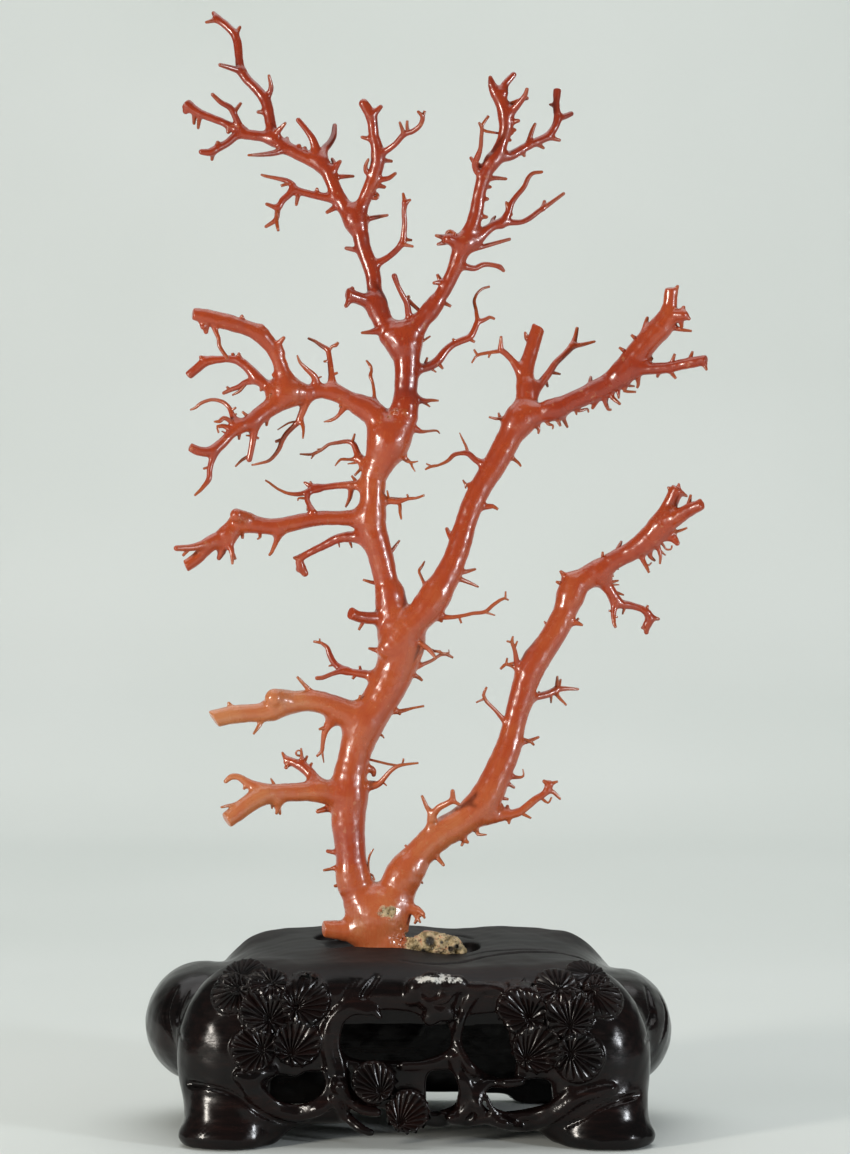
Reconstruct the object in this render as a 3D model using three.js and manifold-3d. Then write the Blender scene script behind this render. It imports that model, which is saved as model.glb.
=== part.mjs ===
// A branching precious coral resting in its carved dark wood stand.
// Millimetres: +X to the right, +Y to the back, +Z up; the stand's feet are on z = 0.
import * as THREE from "three";
import { ConvexGeometry } from "three/addons/geometries/ConvexGeometry.js";
import { mergeVertices } from "three/addons/utils/BufferGeometryUtils.js";
import Module from "manifold-3d";

const wasm = await Module();
wasm.setup();

// ---- driving dimensions -------------------------------------------------------------------
const GAP = 0.35; // clearance kept between neighbouring pieces
const VIEW_DISTANCE = 1000; // the limbs are laid out on the plane y = 0 as seen from this far
const VIEW_HEIGHT = 182; // height of that eye point
const STAND_TOP = 60.5; // height of the stand's flat top
const STAND_X = -4.5; // the stand's middle
const STAND_HALF = [64.5, 45]; // half width and half depth of the body between the feet
const CORNER = 24; // radius of the body's upright corners
const EDGE = 11; // radius of the edge round its top
const NET_STEP = 6.1; // spacing of the points that the stand's outer form is netted on
const WALL = 9; // thickness of the carved wall round the hollow
const TOP_THICKNESS = 14; // wood left under the top
const APRON_BOTTOM = 6; // the front of the apron hangs this far above the floor

// ---- the coral's limbs --------------------------------------------------------------------
// A limb is drawn on the plane y = 0 as x, z, radius for each of its points. Its depth runs
// from that of its parent at the root to the tip depth given, and each point slides along its
// own sight line as it does, so that depth never changes the front outline.
const limbs = new Map();

function slide(x, z, y) {
  const k = 1 + y / VIEW_DISTANCE;
  return [-1 + (x + 1) * k, y, VIEW_HEIGHT + (z - VIEW_HEIGHT) * k];
}

function depthOf(parent, x, z) {
  let best = Infinity;
  let depth = 0;
  const p = parent.points;
  for (let i = 0; i + 1 < p.length; i++) {
    const [ax, az] = p[i];
    const [bx, bz] = p[i + 1];
    const length2 = (bx - ax) ** 2 + (bz - az) ** 2;
    const t = Math.min(1, Math.max(0, ((x - ax) * (bx - ax) + (z - az) * (bz - az)) / length2));
    const gap = Math.hypot(ax + t * (bx - ax) - x, az + t * (bz - az) - z);
    if (gap < best) {
      best = gap;
      depth = p[i][3] + t * (p[i + 1][3] - p[i][3]);
    }
  }
  return depth;
}

function limb(node, name, parent, tipDepth, flat) {
  const raw = [];
  for (let i = 0; i < flat.length; i += 3) raw.push([flat[i], flat[i + 1], flat[i + 2]]);
  const start = typeof parent === "number" ? parent : depthOf(limbs.get(parent), raw[0][0], raw[0][1]);
  let run = 0;
  const runs = raw.map((p, i) => {
    if (i) run += Math.hypot(p[0] - raw[i - 1][0], p[1] - raw[i - 1][1]);
    return run;
  });
  const points = raw.map((p, i) => [p[0], p[1], p[2], start + (tipDepth - start) * (runs[i] / run)]);
  limbs.set(name, { node, points });
}

// the foot and the two stems that leave it
limb("foot", "foot stem", 0, 0, [-16.5, 59, 7.4, -17, 64, 8.3, -16.6, 70, 9.2]);
limb("foot", "trunk root", 0, 0, [-19, 68, 8, -21.6, 74.5, 6.6, -25, 82, 5.2]);
limb("foot", "stem root", 0, 0, [-14.5, 68, 8.2, -12, 74, 7, -7, 84.5, 5.3]);
limb("foot", "foot lobe", 0, -4, [-20, 65, 5.5, -25, 64.3, 4.2, -30, 64.4, 3.1, -34.6, 64.8, 2.6]);
limb("foot", "crust", -4, -9, [-13, 59, 4.4, -7.4, 57.6, 3, -1.6, 59.4, 3.6, 4, 60, 3.6, 11, 57.6, 2]);
limb("foot", "claw", -2, -5, [-7, 71.5, 2, -3, 70.6, 1.1, -1, 68.3, 0.7]);

// main trunk and the limbs on its left
limb("main_trunk", "trunk", "trunk root", 2, [
  -25, 82, 5.3, -25.7, 90, 5.1, -26, 98, 5.5, -26.3, 108, 5.9, -25, 120, 5.3, -22.5, 130, 6.3,
  -17, 140, 6.2, -13.5, 145, 6.2, -10.5, 152, 6.6, -8.2, 160, 7.4, -7.5, 164, 7,
]);
limb("main_trunk", "left stub", "trunk", 2, [-9.5, 161, 6.2, -12, 169, 4.9, -12.3, 175, 4.5]);
limb("main_trunk", "right stub", -3, -1, [-13, 158.5, 3.2, -7, 164.5, 4.8, -2, 169.3, 5, 1.5, 174, 4.7]);
limb("lowest_left_limb", "lowest left", "trunk", -12, [
  -27, 109.6, 4.4, -35, 110.2, 3.7, -45, 110.3, 3.1, -54, 109.4, 3.2, -60, 106.3, 3.1, -66.5, 101.6, 2.8,
]);
limb("lowest_left_limb", "lowest curl", "lowest left", -6, [
  -55, 110.5, 2, -58.5, 112.5, 1.7, -62, 115, 1.1, -65.5, 115.3, 1, -67.3, 114, 0.7,
]);
limb("lowest_left_limb", "lowest upright", "lowest left", 4, [
  -36.5, 111, 2.8, -38.8, 115.7, 2, -41.5, 118.8, 1.9, -44.5, 120.2, 1.6, -48, 121, 1.6,
]);
limb("pale_left_limb", "pale", "trunk", -10, [
  -22, 134, 4.6, -29, 138, 4.2, -36, 140.3, 3.6, -44, 140.3, 3.7, -50, 139.6, 4.4,
  -55.5, 136.9, 3.3, -64, 136.3, 3, -70.8, 134.5, 3,
]);
limb("pale_left_limb", "pale knob", "pale", -8, [-47, 140.5, 3.6, -51.3, 141.6, 3.2]);
limb("pale_left_limb", "pale hanger", "pale", 2, [
  -29, 136, 2.6, -32.6, 133.2, 1.8, -34.5, 130, 1, -35.2, 125, 0.8, -37, 122.3, 0.6,
]);
limb("forked_left_twig", "forked twig", "trunk", 6, [
  -13, 149, 1.8, -21, 149.6, 1.5, -28, 151, 1.4, -31, 153, 1.1, -32.8, 156.5, 1, -35, 159.8, 0.8, -38, 160.5, 0.6,
]);
limb("forked_left_twig", "forked lower", "forked twig", 0, [-27, 150.7, 1, -32, 149.6, 0.9, -36.8, 148.3, 0.9]);

// middle trunk and its left limbs
limb("middle_trunk", "middle", "left stub", 0, [
  -12.3, 175, 4.5, -14.5, 183, 4, -16.1, 190, 4.2, -18, 196, 4.6, -19, 202, 4.8, -18.5, 210, 4.2,
  -18.2, 215, 4.3, -15.9, 220, 5.2, -13.7, 225, 6.2, -12.3, 230, 7,
]);
limb("middle_trunk", "shoulder stub", "middle", 0, [-13.5, 227, 6, -17, 235.5, 4.4, -21.3, 238.7, 3.4]);
limb("middle_trunk", "upper stub", "middle", 0, [-11.5, 228, 6, -9, 234, 4.6, -7.8, 238, 3.9]);
limb("cut_stump", "stump", "left stub", -7, [-12, 168.4, 2.3, -20, 168.3, 2, -25.2, 169.8, 1.9]);
limb("drooping_left_limb", "drooping", "middle", 9, [
  -18, 194.8, 2.7, -25, 195.4, 2, -31, 194.4, 1.6, -38, 190.6, 1.3, -42.6, 188, 1.4, -42.2, 184.4, 1.8,
]);
limb("long_left_limb", "long left", "middle", -6, [
  -19, 202, 3.4, -26, 201.6, 2.7, -35, 201.6, 2.4, -44, 200, 2.7, -54, 199, 2.8, -61, 200, 3.4,
  -67, 196.8, 2.6, -72.5, 193.2, 2.4, -77, 188.3, 2.1, -80.3, 186, 1.9,
]);
limb("long_left_limb", "long knob", "long left", -8, [-60, 200.5, 3.3, -64, 202.3, 2.6]);
limb("long_left_limb", "long upper tip", "long left", -12, [-71, 194.4, 1.6, -77, 192.1, 1.3, -83.6, 191.6, 1]);
limb("long_left_limb", "long legs", "long left", -3, [-66.6, 195.5, 2.6, -67.4, 191.5, 1.9, -69.3, 188.6, 1]);
limb("long_left_limb", "long spur", "long left", -12, [-49.5, 198, 1.8, -50.8, 193.5, 0.8, -52.8, 189.5, 0.6]);
limb("thin_left_limb", "thin left", "middle", 5, [
  -18, 212.8, 2, -26, 212.6, 1.4, -33, 212, 1.1, -38, 211.4, 1.4, -43.5, 209.7, 0.9, -49, 210.8, 0.7, -54, 214.2, 0.6,
]);
limb("upswept_left_twig", "upswept", "middle", 9, [
  -17, 218, 1.8, -22.5, 221, 1.6, -24.8, 226, 1.1, -28, 227, 0.8, -33, 226.2, 0.8, -38.5, 222.9, 0.7, -42.5, 223, 0.5,
]);

// the great shoulder limb on the left and its three arms
limb("shoulder_limb", "shoulder", "shoulder stub", -5, [
  -21.3, 238.7, 3.4, -26, 241.4, 2.7, -31, 243.4, 2.7, -36, 244, 2.4, -41, 243.6, 2.8, -46, 244.2, 4, -49.5, 243.8, 3.6,
]);
limb("shoulder_limb", "shoulder hanger", "shoulder", 4, [
  -40.3, 242.5, 1.8, -41.4, 238.3, 1.2, -42.8, 234, 1.1, -46.8, 230, 0.9, -49.2, 226, 0.8, -53, 220.8, 0.6, -58.6, 219.3, 0.5,
]);
limb("shoulder_limb", "shoulder twig", "shoulder", 3, [
  -32, 244.5, 1.6, -32.3, 250, 1, -33.2, 257.7, 0.9, -37.5, 260.5, 0.6, -39.8, 261.5, 0.5,
]);
limb("shoulder_upper_arm", "upper arm", "shoulder", -14, [
  -47.3, 245, 3.2, -48.4, 250.5, 2.6, -50.4, 256, 2.1, -54.3, 261.5, 2.6, -59, 264.4, 2.5, -66, 266.8, 2.5,
  -73, 268.4, 2.5, -78.2, 269.8, 1.8,
]);
limb("shoulder_middle_arm", "middle arm", "shoulder", -1, [
  -49, 244, 2.6, -54, 246, 1.7, -57, 248.4, 1.9, -60, 252, 1.6, -64, 254.5, 1.3, -70, 254.5, 1.2,
  -74.5, 253.5, 1.7, -79.3, 249.3, 1.5,
]);
limb("shoulder_middle_arm", "middle arm fork", "middle arm", 3, [-57, 247.8, 1.4, -62.5, 245.9, 1, -67.9, 243.5, 0.8]);
limb("shoulder_lower_arm", "lower arm", "shoulder", -17, [
  -47, 242, 3.6, -52, 239, 3, -57, 234.8, 2.6, -62, 232, 2.2, -66, 229.2, 1.7, -69.5, 225.8, 1.7, -73, 223.8, 1.6, -79.2, 225.4, 1.6,
]);
limb("shoulder_lower_arm", "lower arm curl", "lower arm", -5, [
  -63, 232.5, 1.8, -65.3, 236, 1, -68.5, 240.3, 0.8, -72.5, 241, 0.6, -78.8, 237.9, 0.5,
]);
limb("shoulder_lower_arm", "lower arm leg", "lower arm", -8, [-58, 233, 1.8, -58.4, 228, 1.1, -59.7, 221.6, 1.1]);
limb("shoulder_lower_arm", "lower arm spur", "lower arm", -16, [
  -71, 223.5, 1.4, -72.6, 218.5, 1, -73, 214.5, 1, -75.5, 211.3, 0.6, -77.8, 209.2, 0.5,
]);

// upper trunk and the crown
limb("upper_trunk", "upper", "upper stub", 2, [
  -7.8, 238, 3.9, -7.4, 245, 3.7, -7.1, 252, 4.2, -7.4, 258, 5, -8.2, 262, 5.6,
]);
limb("upper_trunk", "crown left stub", "upper", 4, [-9, 260, 4.8, -13.5, 265, 3.8, -16.8, 270.5, 3]);
limb("upper_trunk", "crown right stub", "upper", 1, [-7, 260, 4.8, -4, 265.5, 3.4, 0, 269.7, 2.6]);
limb("upper_trunk", "side twig", "upper", 8, [
  -6, 249.8, 1.6, 0, 251.9, 1.4, 5.5, 257, 1.3, 10, 260.4, 1.1, 14, 262.2, 1.1, 16.5, 266.8, 0.9, 20.5, 268.5, 0.6,
]);
limb("crown_left_limb", "crown left", "crown left stub", 7, [
  -16.8, 270.5, 3, -18, 276, 2.5, -18.3, 283, 2.4, -20.5, 288.5, 2.4, -22, 295, 2.5, -24, 300, 3.4, -24.4, 302.8, 3.2,
]);
limb("crown_left_limb", "crown stump", "crown left", -1, [-18.5, 273.6, 2.3, -25.8, 275.8, 2]);
limb("crown_outer_left", "outer left", "crown left", 14, [
  -25, 301.5, 2.8, -28.5, 306.5, 2.4, -32, 313.5, 2.1, -35.5, 319, 2.5, -43, 323, 2.1, -51, 328, 2, -57.5, 329.3, 1.5,
  -63.5, 330, 1.4, -70, 334.3, 1.1, -76, 336.5, 1.3, -79.6, 339, 1.6,
]);
limb("crown_outer_left", "outer upright", "outer left", 19, [
  -51, 327.5, 1.9, -53, 335.5, 1.6, -54.5, 341.5, 1.6, -59, 346.8, 1.4, -62.8, 352, 1.2, -63.7, 360, 1.2,
  -66, 365.3, 1.1, -71, 368.8, 1.1,
]);
limb("crown_outer_left", "outer side", "outer left", 5, [-31.5, 308.3, 1.4, -38, 309.3, 1.1, -44.5, 310.8, 1.2, -48.5, 307.3, 0.9, -50.2, 303.5, 0.7]);
limb("crown_inner_left", "inner left", "crown left", 0, [
  -24, 302, 2.6, -21.4, 307.5, 2.2, -18.7, 313, 2.2, -17, 320, 2.2, -17.6, 328, 1.6, -19, 335, 1.8, -21.3, 339.4, 1.4,
]);
limb("crown_inner_left", "inner twig", "inner left", -8, [-16.5, 322, 1.2, -11, 326, 0.8, -8, 329.5, 0.8, -2.5, 332.5, 0.6, -1.8, 336.5, 0.5]);
limb("crown_right_limb", "crown right", "crown right stub", -5, [
  0, 269.7, 2.6, 4.5, 276, 2.2, 8.2, 283, 2.2, 11, 291, 2.9, 14.3, 297.5, 2.5, 16.8, 308, 1.9, 19, 316.5, 2.2, 23, 323, 2.2,
  25.5, 329, 1.9, 26, 335, 2.5, 22.7, 343, 2.1, 21, 347.6, 0.8,
]);
limb("crown_right_limb", "right twig", "crown right", 5, [
  14.5, 295, 1.9, 21, 298.6, 1.3, 27, 300.2, 1, 32, 300.5, 0.8, 38, 304.7, 0.8, 45, 309.7, 0.6,
]);
limb("crown_right_limb", "right twig upper", "right twig", 1, [25, 299.7, 1.3, 27.8, 306.5, 1, 32, 312, 0.8, 33.5, 315.3, 0.7, 37.6, 317, 0.6]);
limb("crown_right_branch", "right branch", "crown right", 6, [21.5, 320.3, 1.8, 30, 324, 1.3, 39, 328.4, 1.2, 43, 334, 1.2, 42.9, 341, 1, 43.3, 344, 1.3]);

// the big limb on the right
limb("right_limb", "right limb", "right stub", 5, [
  1.5, 174, 4.7, 5.5, 180.5, 4.5, 8.6, 187.5, 4, 10.8, 194.5, 3.9, 13.2, 201.5, 3.6, 16.2, 209, 3.6,
  21, 217, 3.8, 25, 224.5, 4.1, 28.5, 231, 4.4, 30.5, 235.5, 4.7,
]);
limb("right_limb", "cut end stub", "right limb", 7, [30, 233, 4.4, 32.2, 239.5, 3.2, 32.9, 243.5, 3]);
limb("right_limb", "thorny stub", "right limb", 3, [31, 234, 4.2, 37, 236.4, 3.2, 41.5, 237.6, 3.2]);
limb("right_limb", "floating twig", "right limb", 0, [
  20.5, 218.5, 1.5, 15.5, 221.3, 1, 12.8, 223.6, 1, 8.5, 222.5, 0.8, 3.5, 219.3, 0.6, -0.5, 218.6, 0.6,
]);
limb("right_limb", "low twig", "right limb", -5, [
  1, 169.3, 1.3, 8, 168.6, 0.8, 15, 169.9, 0.7, 19.5, 170.6, 0.7, 24, 174.3, 0.6, 26.3, 175.6, 0.6,
]);
limb("right_cut_limb", "cut limb", "cut end stub", 13, [32.9, 243.5, 3, 32.4, 249, 2.7, 33.3, 254, 2.5, 35, 259.5, 2.2, 36.5, 264.8, 2.3]);
limb("right_cut_limb", "cut limb left", "cut limb", 5, [31.5, 250.5, 1.8, 28, 254.3, 1, 24.4, 257.5, 1, 21, 256.9, 0.6, 16.8, 256.3, 0.6]);
limb("right_cut_limb", "cut limb right", "cut limb", 17, [34.5, 244.5, 2.1, 38, 247, 1.4, 42, 252.8, 1.1, 48, 258.7, 1.1, 49.6, 264.6, 0.6]);
limb("thorny_limb", "thorny", "thorny stub", -7, [
  41.5, 237.6, 3.2, 48, 240.7, 3.1, 55, 243.5, 3.4, 61, 246.7, 3.7, 66, 251.3, 4, 70.5, 257, 4,
  75, 262.3, 3.8, 79, 266.5, 3.8, 80.9, 272, 2.4, 81, 277.8, 2,
]);
limb("thorny_limb", "thorny lump", "thorny", -9, [79, 268, 3, 84.6, 269, 2.3]);
limb("thorny_lower_fork", "thorny lower", "thorny", -13, [64, 248.5, 2.6, 72, 251.3, 1.9, 80, 251.8, 1.8, 88, 253.5, 1.7, 93.3, 254.5, 1.7]);

// the second stem, low on the right
limb("right_stem", "stem", "stem root", 9, [
  -7, 84.5, 5.3, -3, 89.5, 4.9, 3, 95.2, 4.9, 10, 99.6, 5, 16, 104.3, 5.3, 21, 111.3, 5.2, 25, 120.5, 4.6,
  28, 130, 3.9, 30.8, 140, 3.9, 33, 148.5, 4.6, 38, 157.3, 4.3, 42.6, 164.5, 4.1, 46, 172, 4.1, 48, 177.5, 4.2,
]);
limb("right_stem", "stem top", "stem", 9, [47.5, 176, 4.2, 50, 181, 3.1, 54, 182.3, 3.2]);
limb("right_stem", "stem fork twig", "stem", -7, [1, 95, 1.9, 1.3, 102.3, 1.3, 4.5, 105.8, 1.1, 8.2, 107.5, 1.1, 8.2, 110.3, 0.9]);
limb("right_stem", "stem long twig", "stem", 3, [21, 102.5, 2.8, 27, 102.8, 1.7, 33, 105.6, 1.3, 39, 110, 1.1, 40.5, 113, 1.4]);
limb("right_stem", "stem left twig", "stem", 0, [28, 132, 1.1, 22.5, 137.5, 0.8, 18.7, 141.6, 0.8, 19.4, 145, 0.7]);
limb("right_stem", "stem right twig", "stem", 14, [31.5, 140, 2, 36, 142, 1.3, 43, 144.4, 1.3, 49.8, 144.7, 0.8]);
limb("right_stem", "stem upper twig", "stem", 0, [31, 150, 1.3, 29, 157.5, 0.8, 27.8, 161, 0.7]);
limb("right_stem_upper", "stem upper", "stem top", 0, [
  54, 182.3, 3.2, 58, 184.8, 3.5, 64, 188.6, 3, 69.5, 191.6, 3.5, 74, 195.3, 4.1, 77.7, 199.3, 4, 80.3, 205, 2.6, 82.9, 210.3, 2.4,
]);
limb("right_stem_upper", "stem upper fork", "stem upper", -8, [78, 199, 3.2, 85, 203.2, 2.4, 91.3, 205.8, 1.8]);
limb("right_stem_drooping", "drooping stem", "stem upper", 14, [
  57, 183.5, 3, 59.3, 179.3, 2.2, 62.3, 174.8, 1.9, 66, 172.8, 1.4, 71.5, 171.3, 1.2, 73.7, 168.5, 1.6, 72.8, 164.6, 1.2,
]);
limb("right_stem_drooping", "drooping spur", "drooping stem", 8, [62.6, 174.3, 1.3, 61.8, 169, 0.9, 62.4, 165.3, 0.7]);

// ---- from a closed geometry to a solid -----------------------------------------------------
function geometryOf(vertices, faces) {
  const geometry = new THREE.BufferGeometry();
  geometry.setAttribute("position", new THREE.Float32BufferAttribute(vertices, 3));
  geometry.setIndex(faces);
  return geometry;
}

// one solid from a closed geometry, once the corners that its faces share are one vertex each
function solidOf(geometry) {
  const plain = geometry.clone();
  plain.deleteAttribute("normal");
  plain.deleteAttribute("uv");
  const merged = mergeVertices(plain, 1e-4);
  return new wasm.Manifold(
    new wasm.Mesh({
      numProp: 3,
      vertProperties: new Float32Array(merged.attributes.position.array),
      triVerts: new Uint32Array(merged.index.array),
    }),
  );
}

const joined = (solids) => solids.reduce((sum, solid) => sum.add(solid));

// ---- a limb as a solid ---------------------------------------------------------------------
// A limb tapers, so it isn't one section swept along a curve: it is a row of rings, each with the
// limb's own radius there, closed at both ends.
const sidesFor = (r) => (r > 4.6 ? 8 : r > 2.7 ? 7 : r > 2.2 ? 6 : r > 1.3 ? 5 : 4);

function tube(points, extra) {
  const at = points.map((p) => new THREE.Vector3(...slide(p[0], p[1], p[3])));
  const last = at.length - 1;
  const widest = Math.max(...points.map((p) => p[2]));
  const sides = sidesFor(widest);
  const start = at[0].clone().sub(at[1]).setLength(extra);
  const end = at[last].clone().sub(at[last - 1]).setLength(extra);
  if (extra) {
    at[0].add(start);
    at[last].add(end);
  }
  const tangents = at.map((p, i) =>
    at[Math.min(last, i + 1)].clone().sub(at[Math.max(0, i - 1)]).normalize(),
  );
  const across = new THREE.Vector3(0, 1, 0);
  const vertices = [];
  at.forEach((centre, i) => {
    const t = tangents[i];
    across.addScaledVector(t, -across.dot(t)).normalize();
    const other = new THREE.Vector3().crossVectors(t, across);
    // a many-sided ring is drawn a little outside its circle, so its area stays that of the limb
    const r = (points[i][2] + extra) * Math.sqrt((2 * Math.PI) / sides / Math.sin((2 * Math.PI) / sides));
    for (let k = 0; k < sides; k++) {
      const a = (2 * Math.PI * (k + 0.5)) / sides;
      const v = centre.clone().addScaledVector(across, r * Math.cos(a)).addScaledVector(other, r * Math.sin(a));
      vertices.push(v.x, v.y, v.z);
    }
  });
  const faces = [];
  for (let i = 0; i < last; i++) {
    for (let k = 0; k < sides; k++) {
      const a = i * sides + k;
      const b = i * sides + ((k + 1) % sides);
      faces.push(a, b, b + sides, a, b + sides, a + sides);
    }
  }
  for (let k = 1; k + 1 < sides; k++) {
    faces.push(0, k + 1, k);
    const top = last * sides;
    faces.push(top, top + k, top + k + 1);
  }
  return solidOf(geometryOf(vertices, faces));
}

function largest(solid) {
  return solid.decompose().sort((a, b) => b.volume() - a.volume())[0];
}

// ---- the stand -----------------------------------------------------------------------------
// The carved body is one field, negative inside: a cushion and round masses run together. It is
// netted into a closed skin, and the hollow and the openings of the carving are cut out of that.
const smooth = (a, b, k) => {
  const h = Math.max(0, k - Math.abs(a - b)) / k;
  return Math.min(a, b) - (h * h * k) / 4;
};

function ball(p, c, r) {
  const n = Math.hypot((p[0] - c[0]) / r[0], (p[1] - c[1]) / r[1], (p[2] - c[2]) / r[2]);
  return (n - 1) * Math.min(...r);
}

function cushion(p, c, half, corner, edge) {
  const [dx, dy, dz] = [0, 1, 2].map((i) => Math.abs(p[i] - c[i]) - half[i]);
  const round = Math.hypot(Math.max(dx + corner, 0), Math.max(dy + corner, 0)) - corner;
  const u = round + Math.min(Math.max(dx, dy) + corner, 0) + edge;
  const v = dz + edge;
  return Math.hypot(Math.max(u, 0), Math.max(v, 0)) + Math.min(Math.max(u, v), 0) - edge;
}

// round masses: centre and radii. Front shoulders, side lobes, rear shoulders, front feet, rear feet.
const MASSES = [
  [[-59.6, -29.5, 27], [21.6, 18, 30]],
  [[50.6, -29.5, 25], [21.4, 18, 30]],
  [[-75, 7, 33], [19.6, 28, 20]],
  [[63.5, 7, 31], [18, 28, 19.5]],
  [[-57, 32, 28], [17, 16, 28]],
  [[48, 32, 28], [17, 16, 28]],
  [[-64.6, -38, 4], [12.5, 11, 13]],
  [[57.6, -38, 4], [12.5, 11, 13]],
  [[-58, 38, 5], [12, 11, 13]],
  [[48, 38, 5], [12, 11, 13]],
];
// the flare of each foot: x and y
const FLARES = [
  [-64.6, -39.5],
  [57.8, -39.5],
  [-58, 40],
  [48, 40],
];
// openings through the front of the apron: x, z, half width, half height
const FRONT_OPENINGS = [
  [-12, 35, 15, 8],
  [18, 33.5, 7.5, 9.5],
  [-43.5, 17, 9.5, 5.2],
  [28, 16, 11, 5],
  [4.5, 17, 5.2, 7],
];
// the back is plainer: one wide low arch under a solid band of wood
const BACK_ARCH = [STAND_X, 0, 35, 5];
const SIDE_ARCH = [[STAND_X, 3, 0], [21, 10.5]];

function standField(p) {
  let top = STAND_TOP - 0.0012 * Math.max(0, 10 - p[1]) ** 2 + 0.05 * Math.max(0, p[1]);
  top -= 2.2 * Math.exp(-(((p[0] - 9) / 13) ** 2) - ((p[1] + 4) / 60) ** 2);
  top -= 7 * ((p[0] - STAND_X) / 62) ** 4;
  const bottom = APRON_BOTTOM - 0.27 * Math.max(0, p[1]);
  const half = (top - bottom) / 2;
  const middle = [STAND_X, 0, bottom + half];
  let f = cushion(p, middle, [STAND_HALF[0], STAND_HALF[1], half], CORNER, EDGE);
  for (const [c, r] of MASSES) f = smooth(f, ball(p, c, r), 8);
  for (const [x, y] of FLARES) f = smooth(f, ball(p, [x, y, 3.2], [14.6, 10.5, 5]), 3);
  return f;
}

// A closed skin where a field is zero: one vertex in each cell that the skin passes through, and
// one four-sided face across each edge between a point inside and a point outside.
function netted(field, low, high, step) {
  const n = low.map((v, i) => Math.ceil((high[i] - v) / step) + 1);
  const index = (i, j, k) => (i * n[1] + j) * n[2] + k;
  const place = (i, j, k) => [low[0] + i * step, low[1] + j * step, low[2] + k * step];
  const value = new Float64Array(n[0] * n[1] * n[2]);
  const each = (more, visit) => {
    for (let i = 0; i < n[0] - more; i++) {
      for (let j = 0; j < n[1] - more; j++) for (let k = 0; k < n[2] - more; k++) visit(i, j, k);
    }
  };
  each(0, (i, j, k) => {
    value[index(i, j, k)] = field(place(i, j, k));
  });
  const corners = [0, 1].flatMap((a) => [0, 1].flatMap((b) => [0, 1].map((c) => [a, b, c])));
  const vertices = [];
  const vertexOf = new Map();
  each(1, (i, j, k) => {
    const sum = new THREE.Vector3();
    let crossings = 0;
    for (const a of corners) {
      for (const axis of [0, 1, 2]) {
        if (a[axis]) continue;
        const b = a.map((v, m) => (m === axis ? 1 : v));
        const va = value[index(i + a[0], j + a[1], k + a[2])];
        const vb = value[index(i + b[0], j + b[1], k + b[2])];
        if (va < 0 === vb < 0) continue;
        const from = new THREE.Vector3(...place(i + a[0], j + a[1], k + a[2]));
        const to = new THREE.Vector3(...place(i + b[0], j + b[1], k + b[2]));
        sum.add(from.lerp(to, va / (va - vb)));
        crossings += 1;
      }
    }
    if (!crossings) return;
    vertexOf.set(index(i, j, k), vertices.length / 3);
    sum.divideScalar(crossings);
    vertices.push(sum.x, sum.y, sum.z);
  });
  const faces = [];
  each(1, (i, j, k) => {
    const here = value[index(i, j, k)];
    for (const axis of [0, 1, 2]) {
      const next = [i, j, k].map((v, m) => v + (m === axis ? 1 : 0));
      if (here < 0 === value[index(...next)] < 0) continue;
      const u = (axis + 1) % 3;
      const v = (axis + 2) % 3;
      const around = [[0, 0], [1, 0], [1, 1], [0, 1]].map(([du, dv]) => {
        const cell = [i, j, k];
        cell[u] -= du;
        cell[v] -= dv;
        return vertexOf.get(index(...cell));
      });
      const [a, b, c, d] = here < 0 ? around : around.reverse();
      faces.push(a, b, c, a, c, d);
    }
  });
  return geometryOf(vertices, faces);
}

// a drum lying along Y or X, for the openings
function drum(halfX, halfZ, length, sides, place, alongX = false) {
  const shape = new THREE.CylinderGeometry(1, 1, length, sides);
  if (alongX) shape.rotateZ(Math.PI / 2);
  shape.scale(alongX ? 1 : halfX, alongX ? halfX : 1, halfZ);
  return solidOf(shape.translate(...place));
}

const FLOOR = solidOf(new THREE.BoxGeometry(300, 300, 40).translate(0, 0, -20));
const hollowHalf = [STAND_HALF[0] - WALL, STAND_HALF[1] - WALL];
const hollowCorners = [];
for (const [across, rise] of [[1, -1], [1, 0.74], [0.86, 1]]) {
  for (const [u, v] of [[1, 0.68], [0.78, 1]]) {
    for (const [sideX, sideY] of [[1, 1], [1, -1], [-1, 1], [-1, -1]]) {
      const x = STAND_X + sideX * u * across * hollowHalf[0];
      const y = sideY * v * across * hollowHalf[1];
      hollowCorners.push(new THREE.Vector3(x, y, rise * (STAND_TOP - TOP_THICKNESS)));
    }
  }
}
const HOLLOW = solidOf(new ConvexGeometry(hollowCorners));
const sideArch = drum(SIDE_ARCH[1][0], SIDE_ARCH[1][1], 220, 14, SIDE_ARCH[0], true);
let stand = solidOf(netted(standField, [-101, -61, -13], [92, 61, 67], NET_STEP));
stand = stand.simplify(0.5).subtract(FLOOR).subtract(HOLLOW).subtract(sideArch);
for (const [x, z, halfX, halfZ] of FRONT_OPENINGS) {
  stand = stand.subtract(drum(halfX, halfZ, 30, 12, [x, -STAND_HALF[1] - 3, z]));
}
const [archX, archZ, archHalfX, archHalfZ] = BACK_ARCH;
stand = stand.subtract(drum(archHalfX, archHalfZ, 30, 16, [archX, STAND_HALF[1] + 3, archZ]));

// ---- the nodes -----------------------------------------------------------------------------
const nodes = new Map();
for (const { node, points } of limbs.values()) {
  if (!nodes.has(node)) nodes.set(node, []);
  nodes.get(node).push(points);
}

const solids = new Map();
const grown = new Map();
for (const [name, list] of nodes) {
  let solid = joined(list.map((points) => tube(points, 0)));
  for (const other of grown.values()) solid = solid.subtract(other);
  solid = largest(solid.simplify(0.25));
  solids.set(name, solid);
  grown.set(name, joined(list.map((points) => tube(points, GAP))));
}
// the seat for the coral: the shape of its foot, grown by the gap, is taken out of the top
stand = largest(stand.subtract(grown.get("foot")).simplify(0.03));
solids.set("stand", stand);

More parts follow.
